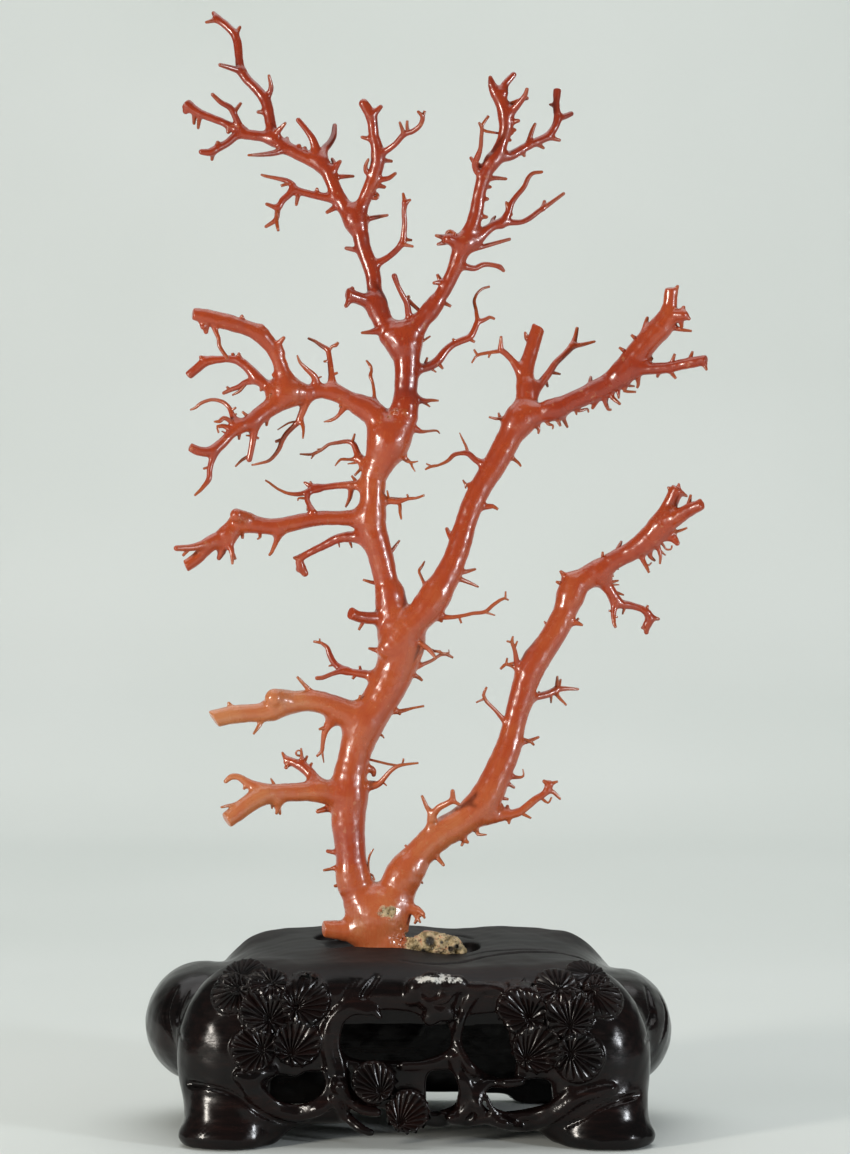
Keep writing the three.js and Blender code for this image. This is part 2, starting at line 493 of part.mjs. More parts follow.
// ---- meshes --------------------------------------------------------------------------------
// The coral is a polished orange red, paler towards the sawn ends, and the stand is near black.
const CORAL_RED = 0xa95535;
const COLOURS = {
  stand: 0x171415,
  foot: 0x9c5a38,
  pale_left_limb: 0xae6d49,
  lowest_left_limb: 0xaa5a3a,
  middle_trunk: 0xa8543a,
  upper_trunk: 0x963f24,
  thorny_limb: 0x98462a,
  crown_left_limb: 0xa24828,
  crown_outer_left: 0x9c4727,
};
const group = new THREE.Group();
for (const [name, solid] of solids) {
  const m = solid.getMesh();
  const vertices = [];
  for (let i = 0; i < m.numVert; i++) {
    vertices.push(...m.vertProperties.subarray(i * m.numProp, i * m.numProp + 3));
  }
  const geometry = geometryOf(vertices, Array.from(m.triVerts));
  geometry.computeVertexNormals();
  const material = new THREE.MeshStandardMaterial({
    color: COLOURS[name] ?? CORAL_RED,
    roughness: name === "stand" ? 0.35 : 0.25,
    metalness: 0,
  });
  const mesh = new THREE.Mesh(geometry, material);
  mesh.name = name;
  group.add(mesh);
}

export default group;
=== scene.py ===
# %% [markdown]
# # A branching coral on its carved stand
# The object is a stem of precious coral, polished to a gloss, that stands in a seat cut in the
# top of a low rosewood stand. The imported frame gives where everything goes. The two parts are
# made in two ways: the coral is a field of rounded limbs turned into a skin, because limbs that
# grow out of each other have no seam between them, and the stand is a second such field with
# the carving laid on it. Fine twigs and the needles of the carved pine are Geometry Nodes.

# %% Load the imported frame
import math
import random
import bmesh
import bpy
import numpy as np
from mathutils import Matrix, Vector


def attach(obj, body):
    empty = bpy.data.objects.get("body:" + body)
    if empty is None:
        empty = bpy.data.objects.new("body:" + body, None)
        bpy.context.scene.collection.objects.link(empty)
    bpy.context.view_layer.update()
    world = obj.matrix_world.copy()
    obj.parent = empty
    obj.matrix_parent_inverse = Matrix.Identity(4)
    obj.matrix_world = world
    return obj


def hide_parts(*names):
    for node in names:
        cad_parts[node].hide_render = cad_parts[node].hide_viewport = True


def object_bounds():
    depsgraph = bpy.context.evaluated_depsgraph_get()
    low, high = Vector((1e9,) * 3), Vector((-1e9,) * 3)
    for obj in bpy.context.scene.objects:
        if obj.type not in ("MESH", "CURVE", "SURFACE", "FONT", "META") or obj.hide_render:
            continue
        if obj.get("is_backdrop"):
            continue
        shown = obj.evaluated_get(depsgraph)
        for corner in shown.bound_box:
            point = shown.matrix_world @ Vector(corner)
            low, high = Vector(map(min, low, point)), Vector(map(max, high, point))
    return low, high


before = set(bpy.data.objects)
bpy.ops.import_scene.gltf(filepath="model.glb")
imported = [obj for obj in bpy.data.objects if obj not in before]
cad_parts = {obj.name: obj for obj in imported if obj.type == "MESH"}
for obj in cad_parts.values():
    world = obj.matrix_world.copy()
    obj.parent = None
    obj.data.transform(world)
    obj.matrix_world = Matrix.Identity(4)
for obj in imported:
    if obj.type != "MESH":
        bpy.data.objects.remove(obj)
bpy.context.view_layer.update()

# %% [markdown]
# The camera stands level, a metre away, straight in front. It is made first, because every limb
# is laid out on the upright plane through the middle of the stand as seen from there: a point
# that lies nearer or farther slides along its own sight line, so its depth never changes the
# outline seen from the front.

# %% The camera
def put(name, data):
    """A new object in the scene."""
    made = bpy.data.objects.new(name, data)
    bpy.context.scene.collection.objects.link(made)
    return made


EYE_DISTANCE = 1000  # mm from the plane y = 0
EYE_X = -1
EYE_HEIGHT = 182

camera_data = bpy.data.cameras.new("front_camera")
camera_data.lens = 93.59
camera_data.sensor_width = 36
camera = put("front_camera", camera_data)
camera.location = (EYE_X / 1000, -EYE_DISTANCE / 1000, EYE_HEIGHT / 1000)
camera.rotation_euler = (math.radians(90), 0, 0)
bpy.context.scene.camera = camera
print("camera", camera_data.lens, "mm lens, level, at", tuple(camera.location))


def slide(x, z, y):
    """The place in mm of a point drawn at x, z on the plane y = 0, at the depth y."""
    k = 1 + y / EYE_DISTANCE
    return np.array([EYE_X + (x - EYE_X) * k, y, EYE_HEIGHT + (z - EYE_HEIGHT) * k])


# %% [markdown]
# ## The coral's limbs
# A limb is a row of points, each x, z and radius in mm on that plane. Its depth runs from that
# of its parent, where it starts, to its own tip depth. Real limbs swell at knots, thin out at
# forks and end in a sawn flat face or a rounded tip, so the radii are what gives each limb its
# character. Short twigs take their depth from a seeded draw, because a real bush of twigs
# points to all sides.

# %% The book of limbs
limbs = {}
twigs = []
draw_lean = random.Random(11)


def points_of(flat):
    return [tuple(flat[i:i + 3]) for i in range(0, len(flat), 3)]


def depth_on(name, x, z):
    """Depth of a limb at the place nearest to x, z, with that place and its radius."""
    best = None
    path = limbs[name]["path"]
    for (ax, az, ar, ay), (bx, bz, br, by) in zip(path, path[1:]):
        dx, dz = bx - ax, bz - az
        t = min(1, max(0, ((x - ax) * dx + (z - az) * dz) / (dx * dx + dz * dz)))
        near = (ax + t * dx, az + t * dz, ar + t * (br - ar), ay + t * (by - ay))
        gap = math.hypot(near[0] - x, near[1] - z)
        if best is None or gap < best[0]:
            best = (gap, near)
    return best[1]


def fuller(z):
    """What is added to a radius in mm: the crown is fleshier than its middle lines tell."""
    return 0.2 * min(1, max(0, (z - 235) / 50))


def with_depth(flat, start, tip):
    """Points of a limb with a depth that runs evenly along it."""
    raw = points_of(flat)
    run = [0]
    for a, b in zip(raw, raw[1:]):
        run.append(run[-1] + math.hypot(b[0] - a[0], b[1] - a[1]))
    return [(x, z, r + fuller(z), start + (tip - start) * there / run[-1])
            for (x, z, r), there in zip(raw, run)]


def limb(piece, name, parent, tip, flat, cut=None, blend=None):
    """A limb: parent is a limb's name or a depth, cut is the lean of a sawn end in degrees."""
    start = parent if isinstance(parent, (int, float)) else depth_on(parent, flat[0], flat[1])[3]
    path = with_depth(flat, start, tip)
    limbs[name] = {"piece": piece, "path": path, "cut": cut, "blend": blend}


def grow(parent, *paths, lean=None):
    """Small twigs on a limb, rooted inside it; lean is how far back the tip stands."""
    for flat in paths:
        x, z = flat[0], flat[1]
        near = depth_on(parent, x, z)
        length = math.hypot(flat[-3] - x, flat[-2] - z)
        back = lean if lean is not None else draw_lean.uniform(-0.75, 0.75) * length
        path = with_depth(flat, near[3], near[3] + back)
        inward = (near[0] - x, near[1] - z)
        gap = math.hypot(*inward)
        if gap > 0.6:
            reach = min(1, 0.75 * gap / max(gap, 1e-6))
            root = (x + inward[0] * reach, z + inward[1] * reach, flat[2], near[3])
            path = [root] + path
        twigs.append({"piece": limbs[parent]["piece"], "path": path})


# %% The foot, the trunk and the limbs low on the left
limb("foot", "foot stem", 0, 0, [-16.5, 60, 7.8, -17, 63, 8.2, -17.2, 66, 8.4, -16.6, 69.5, 9.2])
limb("foot", "trunk root", 0, 0, [-19, 68, 8, -21.4, 74, 6.7, -23.6, 78.5, 5.6, -25.2, 83, 4.9])
limb("foot", "stem root", 0, 0, [-14.5, 68, 8.4, -12.1, 73.5, 7.1, -9.9, 79, 6, -6.8, 84.5, 5.3])
limb("foot", "foot lobe", 0, -4, [
    -19, 65, 6, -25, 64.3, 4.2, -30, 64.4, 3.1, -34.8, 64.8, 2.6], cut=8)
limb("foot", "crust", -4, -9, [
    -12, 58.6, 4.2, -7.4, 57.4, 2.8, -3.6, 58, 3, 0.4, 59.9, 3.7, 4.4, 59.6, 3.4, 8.4, 58.8, 3, 11.2,
    57.2, 1.7])
limb("foot", "crust bumps", -6, -9, [-5.6, 58.6, 1.9, -2.6, 61.2, 1.8, 0.4, 62, 2, 3.6, 61, 1.9, 9, 60,
    1.7])
limb("foot", "claw", -2, -6, [-8.5, 72.5, 2.6, -5, 71.4, 1.6, -3, 70.8, 1.1, -1.6, 69.6, 0.8])
grow("claw", [-1.9, 69.8, 0.75, -1, 68.2, 0.35], lean=-0.5)
grow("claw", [-4.5, 70.4, 1, -3.5, 68.4, 0.85, -4.5, 66.4, 0.4], [-3.4, 68.4, 0.7, -2.5, 66.8, 0.3],
     [-4, 72.2, 0.5, -2.6, 71.7, 0.2], lean=-1.2)
grow("trunk root", [-29.8, 79.3, 0.7, -31.4, 79, 0.4], [-30.1, 85, 1, -32.5, 84.7, 0.6, -34.9, 84.2, 0.4])
grow("trunk root", [-18.6, 80.4, 0.6, -19.6, 82.5, 0.5, -19.9, 86, 0.4, -19.5, 89, 0.4,
                    -18.1, 91.4, 0.2], [-19.1, 83, 0.4, -17.8, 81, 0.25], lean=-3)

limb("main_trunk", "trunk", "trunk root", 2, [
    -25.2, 81, 5, -25.4, 85, 4.9, -25.7, 90, 5.1, -25.9, 95, 5.2, -26.4, 100, 5.7, -26.3, 108, 5.9,
    -25.8, 116, 5.7, -25, 120, 5.4, -23.9, 125, 5.6, -22.5, 130, 6.2, -20.2, 135, 6.5,
    -16.6, 140, 6.1, -13.6, 145, 6.2, -11.3, 150, 6.4, -9.5, 155, 6.9, -8.3, 160, 7.4,
    -7.8, 164, 7.2])
limb("main_trunk", "left stub", "trunk", 2, [-9.5, 160, 6.2, -11.7, 166, 5.2, -12.1, 171, 4.6,
                                             -12.3, 176, 4.4], blend=4)
limb("main_trunk", "right stub", -3, -1, [
    -14.2, 157.8, 2.8, -10.5, 161, 3.7, -6, 165.6, 4.7, -2, 169.6, 4.8, 0.8, 173.2, 4.6,
    2.4, 176, 4.6], blend=2.2)
grow("trunk", [-30.8, 90.3, 0.9, -33.4, 90.6, 0.7], [-16.5, 157.5, 1, -19.6, 158.2, 0.5],
     [-4, 149, 0.8, -1.8, 147.4, 0.4], [-11, 137.3, 1.1, -9, 137.3, 0.8, -5, 138.3, 0.45, -1.3, 139, 0.4],
     [-10.6, 137.2, 0.7, -9.2, 136.3, 0.5], [-15.8, 129.5, 0.5, -14.6, 128.2, 0.2],
     [-19.8, 118.2, 1.4, -18.3, 117.4, 1.1, -18.1, 116.1, 0.8])
grow("trunk", [-19.8, 112.3, 1.6, -16.5, 113, 1.1, -14.8, 114.7, 0.9, -12.5, 117.3, 0.75, -10, 119, 0.7,
               -7, 119.6, 0.5, -3.2, 120, 0.35], [-9.9, 119.1, 0.45, -8.2, 121.3, 0.35],
     [-15.6, 113.5, 0.4, -13.9, 112.5, 0.25], lean=-5)
grow("trunk", [-4, 152.3, 1.1, -1.5, 153, 0.7, 1.5, 154.3, 0.6, 4, 156, 0.6, 6, 156.3, 0.65,
               8.3, 155.1, 0.4], [5.8, 156.5, 0.4, 6.9, 157.7, 0.2], lean=5)
grow("right stub", [-4.5, 161.5, 0.6, -1.5, 159.3, 0.8, 0.5, 157.7, 0.85, 2, 155.8, 0.6, 2.7, 154.6, 0.3],
     [0.6, 158, 0.5, 4.1, 157.1, 0.5], lean=-6)

limb("lowest_left_limb", "lowest left", "trunk", -12, [
    -26, 109.4, 5, -31, 109.9, 4.3, -35, 110.2, 3.8, -40, 110.5, 3.2, -45, 110.3, 3.05, -50, 110, 3.1,
    -55, 109.2, 3.2, -59, 107, 3.1, -62.5, 104.3, 3, -67.2, 100.9, 2.7], cut=-4)
limb("lowest_left_limb", "lowest curl", "lowest left", -7, [
    -54, 110.5, 2.2, -56.5, 112, 1.7, -58.5, 112.5, 1.7, -61, 114, 1.35, -63, 115.3, 1.1, -65.5, 115.4,
    1.05,
    -67.4, 113.9, 0.75])
limb("lowest_left_limb", "lowest upright", "lowest left", 4, [
    -36.5, 111.5, 3, -37.5, 113.5, 2.5, -39, 116.1, 1.9, -41.5, 118.6, 1.9, -44.5, 120.1, 1.5,
    -47.6, 120.9, 1.5], cut=-10)
grow("lowest upright", [-47.4, 121.4, 0.9, -48.5, 123.4, 0.5], [-46.4, 119.9, 0.8, -47.3, 118.5, 0.7],
     [-42, 120.4, 1, -42.1, 122.7, 0.55, -42.3, 124.9, 0.35],
     [-42, 122.1, 0.5, -43.6, 122.6, 0.4, -44, 123.5, 0.35, -43.2, 124.2, 0.3, -42.4, 123.9, 0.3],
     [-41.6, 119.8, 0.9, -40.2, 122.4, 0.4], [-40, 118, 0.9, -38.6, 120.1, 0.4])
grow("lowest left", [-63, 105.8, 1.2, -66.5, 105.8, 0.6, -69, 105.2, 0.35],
    [-51.3, 112.8, 0.6, -52.4, 114.8, 0.3],
     [-50.2, 107.2, 2, -50, 105.2, 1.1, -49.3, 103.1, 0.5], [-50.1, 105, 0.9, -50.6, 103, 0.45],
     [-52, 106.6, 0.7, -52, 104.8, 0.3])
grow("lowest curl", [-60.3, 113, 0.9, -61.3, 111.5, 0.5])
grow("trunk", [-33, 104.8, 1.2, -36.7, 103.9, 0.8])

limb("pale_left_limb", "pale", "trunk", -10, [
    -21.5, 133.5, 5.2, -25, 135.5, 4.7, -29, 137.5, 4.3, -35, 140.2, 3.7, -40, 140.7, 3.5, -45, 140.2, 3.8,
    -49.5, 139.5, 4.4, -52, 138, 4, -55, 136.9, 3.4, -60, 136.6, 3, -65, 136.2, 3.05,
    -71.5, 134.5, 3], cut=16)
limb("pale_left_limb", "pale knob", "pale", -8, [-47.5, 141, 3.2, -51.1, 141.5, 3.2], blend=1.2)
limb("pale_left_limb", "pale hanger", "pale", 2, [
    -29.5, 137, 2.8, -32, 134.3, 2, -33.3, 132.5, 1.5, -34.4, 130.3, 1.1, -35, 127, 0.75,
    -35.3, 124.2, 0.7, -37.1, 122.2, 0.4])
grow("pale hanger", [-35.3, 124, 0.5, -34.7, 120.1, 0.2], [-33.8, 132, 1, -36.3, 131.2, 0.4])
grow("pale", [-39, 143.5, 1, -41.5, 146.4, 0.65, -43.6, 148.7, 0.45], [-55.8, 133.6, 0.9, -56.6, 131.9, 0.7,
     -58.2, 129.6, 0.35], [-24.4, 139.2, 1, -23, 141, 0.6, -22.6, 142.5, 0.4],
     [-65.6, 138.6, 0.9, -66.4, 139.9, 0.6])

limb("forked_left_twig", "forked twig", "trunk", 6, [
    -14, 148.4, 2.2, -18.5, 149, 1.8, -21, 149.6, 1.5, -25, 150.2, 1.2, -28, 151, 1.35, -31, 153, 1.1,
    -32.7, 156, 1, -33.6, 158.5, 0.8, -35.5, 160, 0.6, -38.2, 160.5, 0.4])
limb("forked_left_twig", "forked lower", "forked twig", 0, [
    -27, 150.7, 1.2, -29, 150.6, 1, -32, 149.7, 0.8, -35, 148.5, 0.8, -37, 148.3, 0.75])
grow("forked twig", [-24, 149.6, 0.7, -25.2, 148, 0.45], [-22.5, 150.3, 0.7, -22.7, 152.3, 0.45],
     [-31.7, 152.7, 0.5, -33.2, 152.3, 0.25], [-36, 160, 0.4, -36.1, 161.5, 0.25])

# %% The middle trunk and its limbs
limb("middle_trunk", "middle", "left stub", 0, [
    -12.2, 173, 4.6, -13, 177, 4.2, -13.9, 180, 3.9, -14.9, 185, 4.1, -16.1, 190, 4.2, -17.8, 195, 4.6,
    -19, 200, 4.8, -18.8, 205, 4.6, -18.5, 210, 4.1, -18.2, 215, 4.3, -16.2, 220, 5.1, -14.4, 224, 5.9,
    -13.2, 228, 6.5])
limb("middle_trunk", "shoulder stub", "middle", 0, [
    -13.8, 226.5, 5.8, -15, 231.5, 5, -17.3, 235.8, 4.2, -20.5, 238.2, 3.4, -23, 239.4, 3], blend=3)
limb("middle_trunk", "upper stub", "middle", 0, [
    -12.3, 227, 5.8, -9.8, 231.5, 5.2, -8.4, 235, 4.3, -7.7, 239, 3.8], blend=3)
grow("middle", [-17.6, 180, 0.7, -21.7, 181.1, 0.4], [-12.9, 189.8, 0.8, -9.5, 194.2, 0.4])
grow("middle", [-14.6, 207.5, 1.5, -12, 207.3, 1.05, -10, 207.1, 1, -7, 208, 0.65, -4, 208.3, 0.5,
                -1.2, 209.3, 0.4], [-13.5, 208, 0.5, -13.6, 210.7, 0.3],
                [-10, 206.8, 0.7, -9.3, 203.5, 0.55,
     -8.9, 201.3, 0.35], [-7.4, 208, 0.5, -6.9, 209.4, 0.35], lean=-4)
grow("upper stub", [-8, 222.2, 1.1, -7.5, 220.9, 0.6, -5.5, 220.2, 0.45, -3.3, 220.6, 0.2],
     [-5.9, 220.2, 0.5, -5.4, 219, 0.4, -4.3, 217.2, 0.2], lean=-2)

limb("cut_stump", "stump", "left stub", -7, [
    -13.5, 168.3, 2.6, -17, 168.2, 2.1, -20, 168.3, 2, -23.5, 168.9, 1.9, -25.9, 170, 2], cut=10)
grow("stump", [-21.7, 167, 0.7, -23.1, 164.3, 0.4])

limb("drooping_left_limb", "drooping", "middle", 9, [
    -17.5, 194.6, 3, -21, 195, 2.4, -25, 195.4, 1.95, -30, 194.8, 1.6, -35, 192.3, 1.35, -40, 189.8, 1.2,
    -42.6, 188, 1.35, -42.4, 185.6, 1.5, -41, 183.2, 1.2])
grow("drooping", [-42.8, 188.4, 1, -44.5, 188.4, 0.6], [-42.4, 185, 1.2, -43.2, 184.5, 0.9],
     [-26, 193.9, 0.6, -25.4, 191.8, 0.3], [-29.8, 193.4, 0.4, -29.5, 191.9, 0.2])

limb("long_left_limb", "long left", "middle", -6, [
    -19, 202.3, 3.6, -22.5, 201.9, 2.9, -25, 201.7, 2.65, -30, 201.7, 2.4, -35, 201.6, 2.4, -40, 201, 2.5,
    -45, 199.8, 2.7, -50, 199, 2.7, -55, 199, 2.8, -59.5, 199.8, 3.2, -63.3, 200, 3.4, -66.2, 197.4, 2.5,
    -69.5, 194.9, 2.2, -72.5, 193, 2.4, -75, 190.5, 2.2, -77.5, 187.9, 2.05, -80.9, 185.6, 2], cut=-8)
limb("long_left_limb", "long knob", "long left", -8, [-60.5, 200.8, 3, -63.8, 202.7, 2.2], blend=1)
limb("long_left_limb", "long upper tip", "long left", -12, [
    -71, 194.4, 1.8, -75, 192.8, 1.5, -79, 191.8, 1.2, -83.8, 191.6, 1])
limb("long_left_limb", "long legs", "long left", -3, [
    -66.8, 196, 2.6, -68.2, 192.8, 1.9, -68.7, 190.5, 1.4, -69.7, 188.3, 0.8])
grow("long upper tip", [-79.8, 191.3, 0.8, -81.7, 189.1, 0.45])
grow("long left", [-65, 196.2, 1.9, -66, 193, 1.3, -65.3, 190, 0.85, -65.2, 186.5, 0.5],
     [-65.4, 190.4, 0.7, -64.2, 187.9, 0.45], [-62, 197, 0.8, -61.8, 194.8, 0.45],
     [-56, 196.6, 0.7, -56, 195.3, 0.5, -56.9, 194.6, 0.3],
     [-49.7, 197, 1.9, -50.6, 193.8, 0.9, -52, 190.5, 0.65, -53, 189.2, 0.4])

limb("thin_left_limb", "thin left", "middle", 5, [
    -17.5, 212.6, 2.4, -22, 212.5, 1.9, -25, 212.7, 1.4, -30, 212.5, 1.15, -34, 212, 1.1, -37, 211.8, 1.35,
    -39.3, 212.4, 0.95, -41.1, 213.5, 0.5])
limb("thin_left_limb", "thin lower", "thin left", 1, [
    -36.5, 211.4, 1.2, -38.5, 210.8, 1.1, -40.5, 210.2, 0.95, -43.5, 209.6, 0.8, -47, 210, 0.6, -50,
    211.3, 0.5,
    -53, 213.5, 0.4, -54.3, 214.3, 0.3])
limb("thin_left_limb", "thin link", "thin lower", -2, [
    -39.8, 210.4, 1, -40.3, 208, 0.95, -39.6, 206, 0.9, -38.5, 203.6, 1.4])
grow("thin link", [-40.6, 208.2, 0.6, -43, 208.3, 0.4, -43.4, 207.4, 0.25],
    [-40, 206, 0.5, -40.3, 204.1, 0.25])
grow("thin left", [-38.8, 212.8, 0.6, -39.3, 213.9, 0.3], [-25.5, 212, 1.1, -26, 208.5, 0.8, -27.4, 205.4,
    0.4],
     [-24, 213.8, 0.7, -25.4, 215.7, 0.4])

limb("upswept_left_twig", "upswept", "middle", 9, [
    -17, 217.5, 2.1, -20.5, 219, 1.7, -22.5, 221, 1.6, -23.7, 223.6, 1.15, -24.8, 226.3, 1, -26.8, 227.2,
    0.8,
    -30, 226.8, 0.7, -33, 226.2, 0.6, -35.5, 224.4, 0.6, -38.5, 222.9, 0.6, -42.7, 223, 0.3])
grow("upswept", [-25.2, 227, 0.6, -24.4, 229.7, 0.35], [-35.5, 224.6, 0.4, -37, 224.6, 0.2],
     [-38, 222.8, 0.4, -38.9, 221.5, 0.25], [-22.8, 221.4, 1.2, -26, 221.2, 0.55, -29, 221.2, 0.5, -31,
         219, 0.2],
     [-23.6, 220.2, 0.5, -26.7, 219.7, 0.25], [-22, 218.9, 0.8, -22.5, 218, 0.6, -24.5, 215.8, 0.35])

# %% The shoulder limb and its three arms
limb("shoulder_limb", "shoulder", "shoulder stub", -5, [
    -20.5, 238.2, 3.4, -23, 239.5, 3, -25.5, 240.8, 2.7, -30, 243, 2.9, -35, 244, 2.45, -38, 243.7, 2.4,
    -41, 243.4, 2.9, -45, 244, 4, -48, 244.4, 4.3, -50.3, 243.5, 3.2])
limb("shoulder_limb", "shoulder hanger", "shoulder", 4, [
    -40.3, 242, 1.9, -41.3, 238.5, 1.3, -42.5, 235.5, 1.15, -43.2, 233.8, 1.05, -45, 232, 0.9, -47, 230,
    0.9,
    -48.6, 227.5, 0.9, -49.5, 225, 0.8, -51, 222.7, 0.7, -53, 220.8, 0.6, -55.5, 220, 0.5, -58.8, 219.3,
    0.3])
limb("shoulder_limb", "shoulder twig", "shoulder", 3, [
    -31.7, 244.5, 1.9, -32, 247, 1.4, -32.2, 249.5, 1, -32.5, 252.5, 0.9, -33, 256, 0.8, -33.5, 257.8, 0.85,
    -35.5, 259.1, 0.7, -37.5, 260.5, 0.5, -40, 261.6, 0.3])
limb("shoulder_limb", "shoulder fork twig", "shoulder", -9, [
    -37.2, 245.5, 1.7, -37.8, 248.7, 1.1, -40.5, 251.3, 0.75, -42.5, 253.3, 0.5, -43.6, 255.9, 0.2])
grow("shoulder hanger", [-42.6, 234.3, 1, -41.7, 232.5, 0.7, -41.5, 230.5, 0.5, -41.7, 228.2, 0.3],
     [-44, 233.8, 0.4, -46.5, 233.3, 0.35, -50.2, 231, 0.2], [-48.4, 227.9, 0.7, -50.8, 227.1, 0.5])
grow("shoulder twig", [-32.8, 257.8, 0.5, -32, 258.8, 0.45, -30.7, 259.3, 0.6, -29.9, 260.2, 0.35],
     [-32.8, 254.2, 0.5, -34.7, 253.8, 0.3], [-32, 249.4, 0.6, -30.1, 250.1, 0.35])
grow("shoulder fork twig", [-37.5, 248, 0.5, -35.5, 248.8, 0.2])
grow("shoulder", [-27.6, 239.6, 1.5, -28.4, 238, 1.1, -29.5, 236.3, 0.7, -31, 234.9, 0.6, -32.5, 234.2, 0.6,
                  -34.7, 233.7, 0.2], [-29, 240, 0.6, -29.4, 238.6, 0.3])
grow("shoulder stub", [-17, 239.4, 0.9, -17.8, 241.6, 0.65, -18, 244, 0.55, -18.5, 247, 0.5, -19.2, 249,
    0.65,
                       -18.8, 251, 0.45, -19.3, 252.5, 0.55, -20.6, 254.2, 0.25], lean=4)

limb("shoulder_upper_arm", "upper arm", "shoulder", -14, [
    -46.5, 244.5, 3.4, -47.7, 248, 2.9, -48.6, 251, 2.5, -50, 255, 2.25, -52.2, 258.7, 2.35, -55, 262, 2.6,
    -58.5, 264.3, 2.5, -62, 265.5, 2.4, -66, 266.8, 2.5, -70, 267.7, 2.55, -74, 268.9, 2.3,
    -78.4, 269.7, 1.8], cut=0)
grow("upper arm", [-55, 263.5, 1.6, -55.6, 265.2, 1], [-61.9, 267.4, 0.8, -62, 268.9, 0.5],
     [-49.3, 256.8, 1.5, -49.7, 259.5, 1, -48.1, 261.7, 0.55], [-50.5, 249.9, 0.9, -51.5, 249.4, 0.6],
     [-75, 267, 1.2, -75, 265.4, 0.8], [-74, 266.5, 1.2, -74, 263.7, 0.7],
     [-71.2, 265.8, 1, -70.6, 263.5, 0.7, -69.8, 261.5, 0.6, -69.5, 259, 0.6, -68, 256.5, 0.6, -66.8, 255,
         0.6])

limb("shoulder_middle_arm", "middle arm", "shoulder", -1, [
    -48, 243.8, 3, -51, 244.5, 2.3, -54, 246, 1.7, -57, 248.3, 1.9, -59.5, 251.2, 1.65, -62.5, 253.8, 1.5,
    -66, 254.7, 1.15, -70, 254.5, 1.2, -74, 253.8, 1.6, -77, 251.5, 1.5, -80, 248.9, 1.4], cut=0)
limb("shoulder_middle_arm", "middle arm fork", "middle arm", 3, [
    -57, 248, 1.5, -59, 247.3, 1.2, -61, 246.8, 0.95, -63, 245.4, 0.9, -65.5, 244.5, 0.8, -68.1, 243.3,
    0.6])
grow("middle arm fork", [-66, 244.4, 0.6, -67.1, 245.4, 0.4], [-60.8, 246.4, 0.6, -61.8, 245, 0.45,
     -63, 243.8, 0.5, -65.2, 242.6, 0.3])
grow("middle arm", [-74.6, 254.6, 1, -75.7, 255.3, 0.6], [-65, 255.6, 0.7, -65.1, 256.6, 0.5],
     [-63, 254.9, 0.8, -63, 256.4, 0.5], [-55, 246, 0.8, -55.7, 244.3, 0.5])

limb("shoulder_lower_arm", "lower arm", "shoulder", -17, [
    -46.5, 242.5, 3.7, -49.5, 240.5, 3.3, -52, 238.9, 3, -56, 236, 2.8, -59, 233.7, 2.6, -62, 232.3, 2.3,
    -65, 230.4, 1.85, -67, 228.3, 1.65, -69.5, 225.8, 1.7, -72.5, 223.9, 1.65, -76, 223.9, 1.6, -79.5,
    225.4, 1.5], cut=0)
limb("shoulder_lower_arm", "lower arm curl", "lower arm", -5, [
    -63, 232.5, 2, -64.4, 234.3, 1.4, -65.3, 236.2, 0.95, -66.3, 238.5, 0.75, -68.5, 240.4, 0.7, -72,
    241.1, 0.6,
    -75.5, 240, 0.6, -77.5, 238.4, 0.5, -79.2, 237.7, 0.3])
limb("shoulder_lower_arm", "lower arm leg", "lower arm", -8, [
    -57.5, 233.5, 1.9, -58, 230.8, 1.5, -58.3, 228, 1.15, -58.9, 224.5, 1.05, -59.6, 221.2, 1])
limb("shoulder_lower_arm", "lower arm spur", "lower arm", -16, [
    -71, 224, 1.5, -71.6, 222, 1.2, -72.3, 220, 1, -72.8, 217.5, 0.95, -73.1, 214.5, 0.95, -75.5, 211.3,
    0.65,
    -77.9, 209.1, 0.35])
grow("lower arm curl", [-65.6, 237.5, 0.5, -64, 238.5, 0.35], [-65, 235.8, 0.5, -63.8, 236.4, 0.3])
grow("lower arm spur", [-72.6, 218.7, 0.6, -74.8, 218.1, 0.4])
grow("lower arm leg", [-59.6, 222.3, 0.7, -62, 221, 0.55, -64.2, 218.8, 0.3],
    [-58.4, 229, 0.5, -60.7, 229.2, 0.25],
     [-57.7, 228.8, 0.6, -56.5, 228.2, 0.45])
grow("lower arm", [-64.5, 232, 1.1, -66, 234, 0.8, -68, 235, 0.75, -69.5, 233.9, 0.7, -71.4, 233.8, 0.25],
     [-65.3, 231, 1, -68, 232.3, 0.8, -70, 232.2, 0.6, -69.8, 230, 0.3],
         [-66.8, 229.6, 0.5, -68.7, 230.6, 0.25],
     [-63, 230.5, 0.9, -63, 227.8, 0.4], [-54, 237.5, 0.8, -54, 239.6, 0.5],
         [-53.8, 235.2, 0.9, -53.8, 232.6, 0.5],
     [-59.5, 235, 0.8, -61.9, 237.1, 0.4], [-53.8, 239, 0.7, -52.8, 241.2, 0.5, -52.5, 243.2, 0.35])

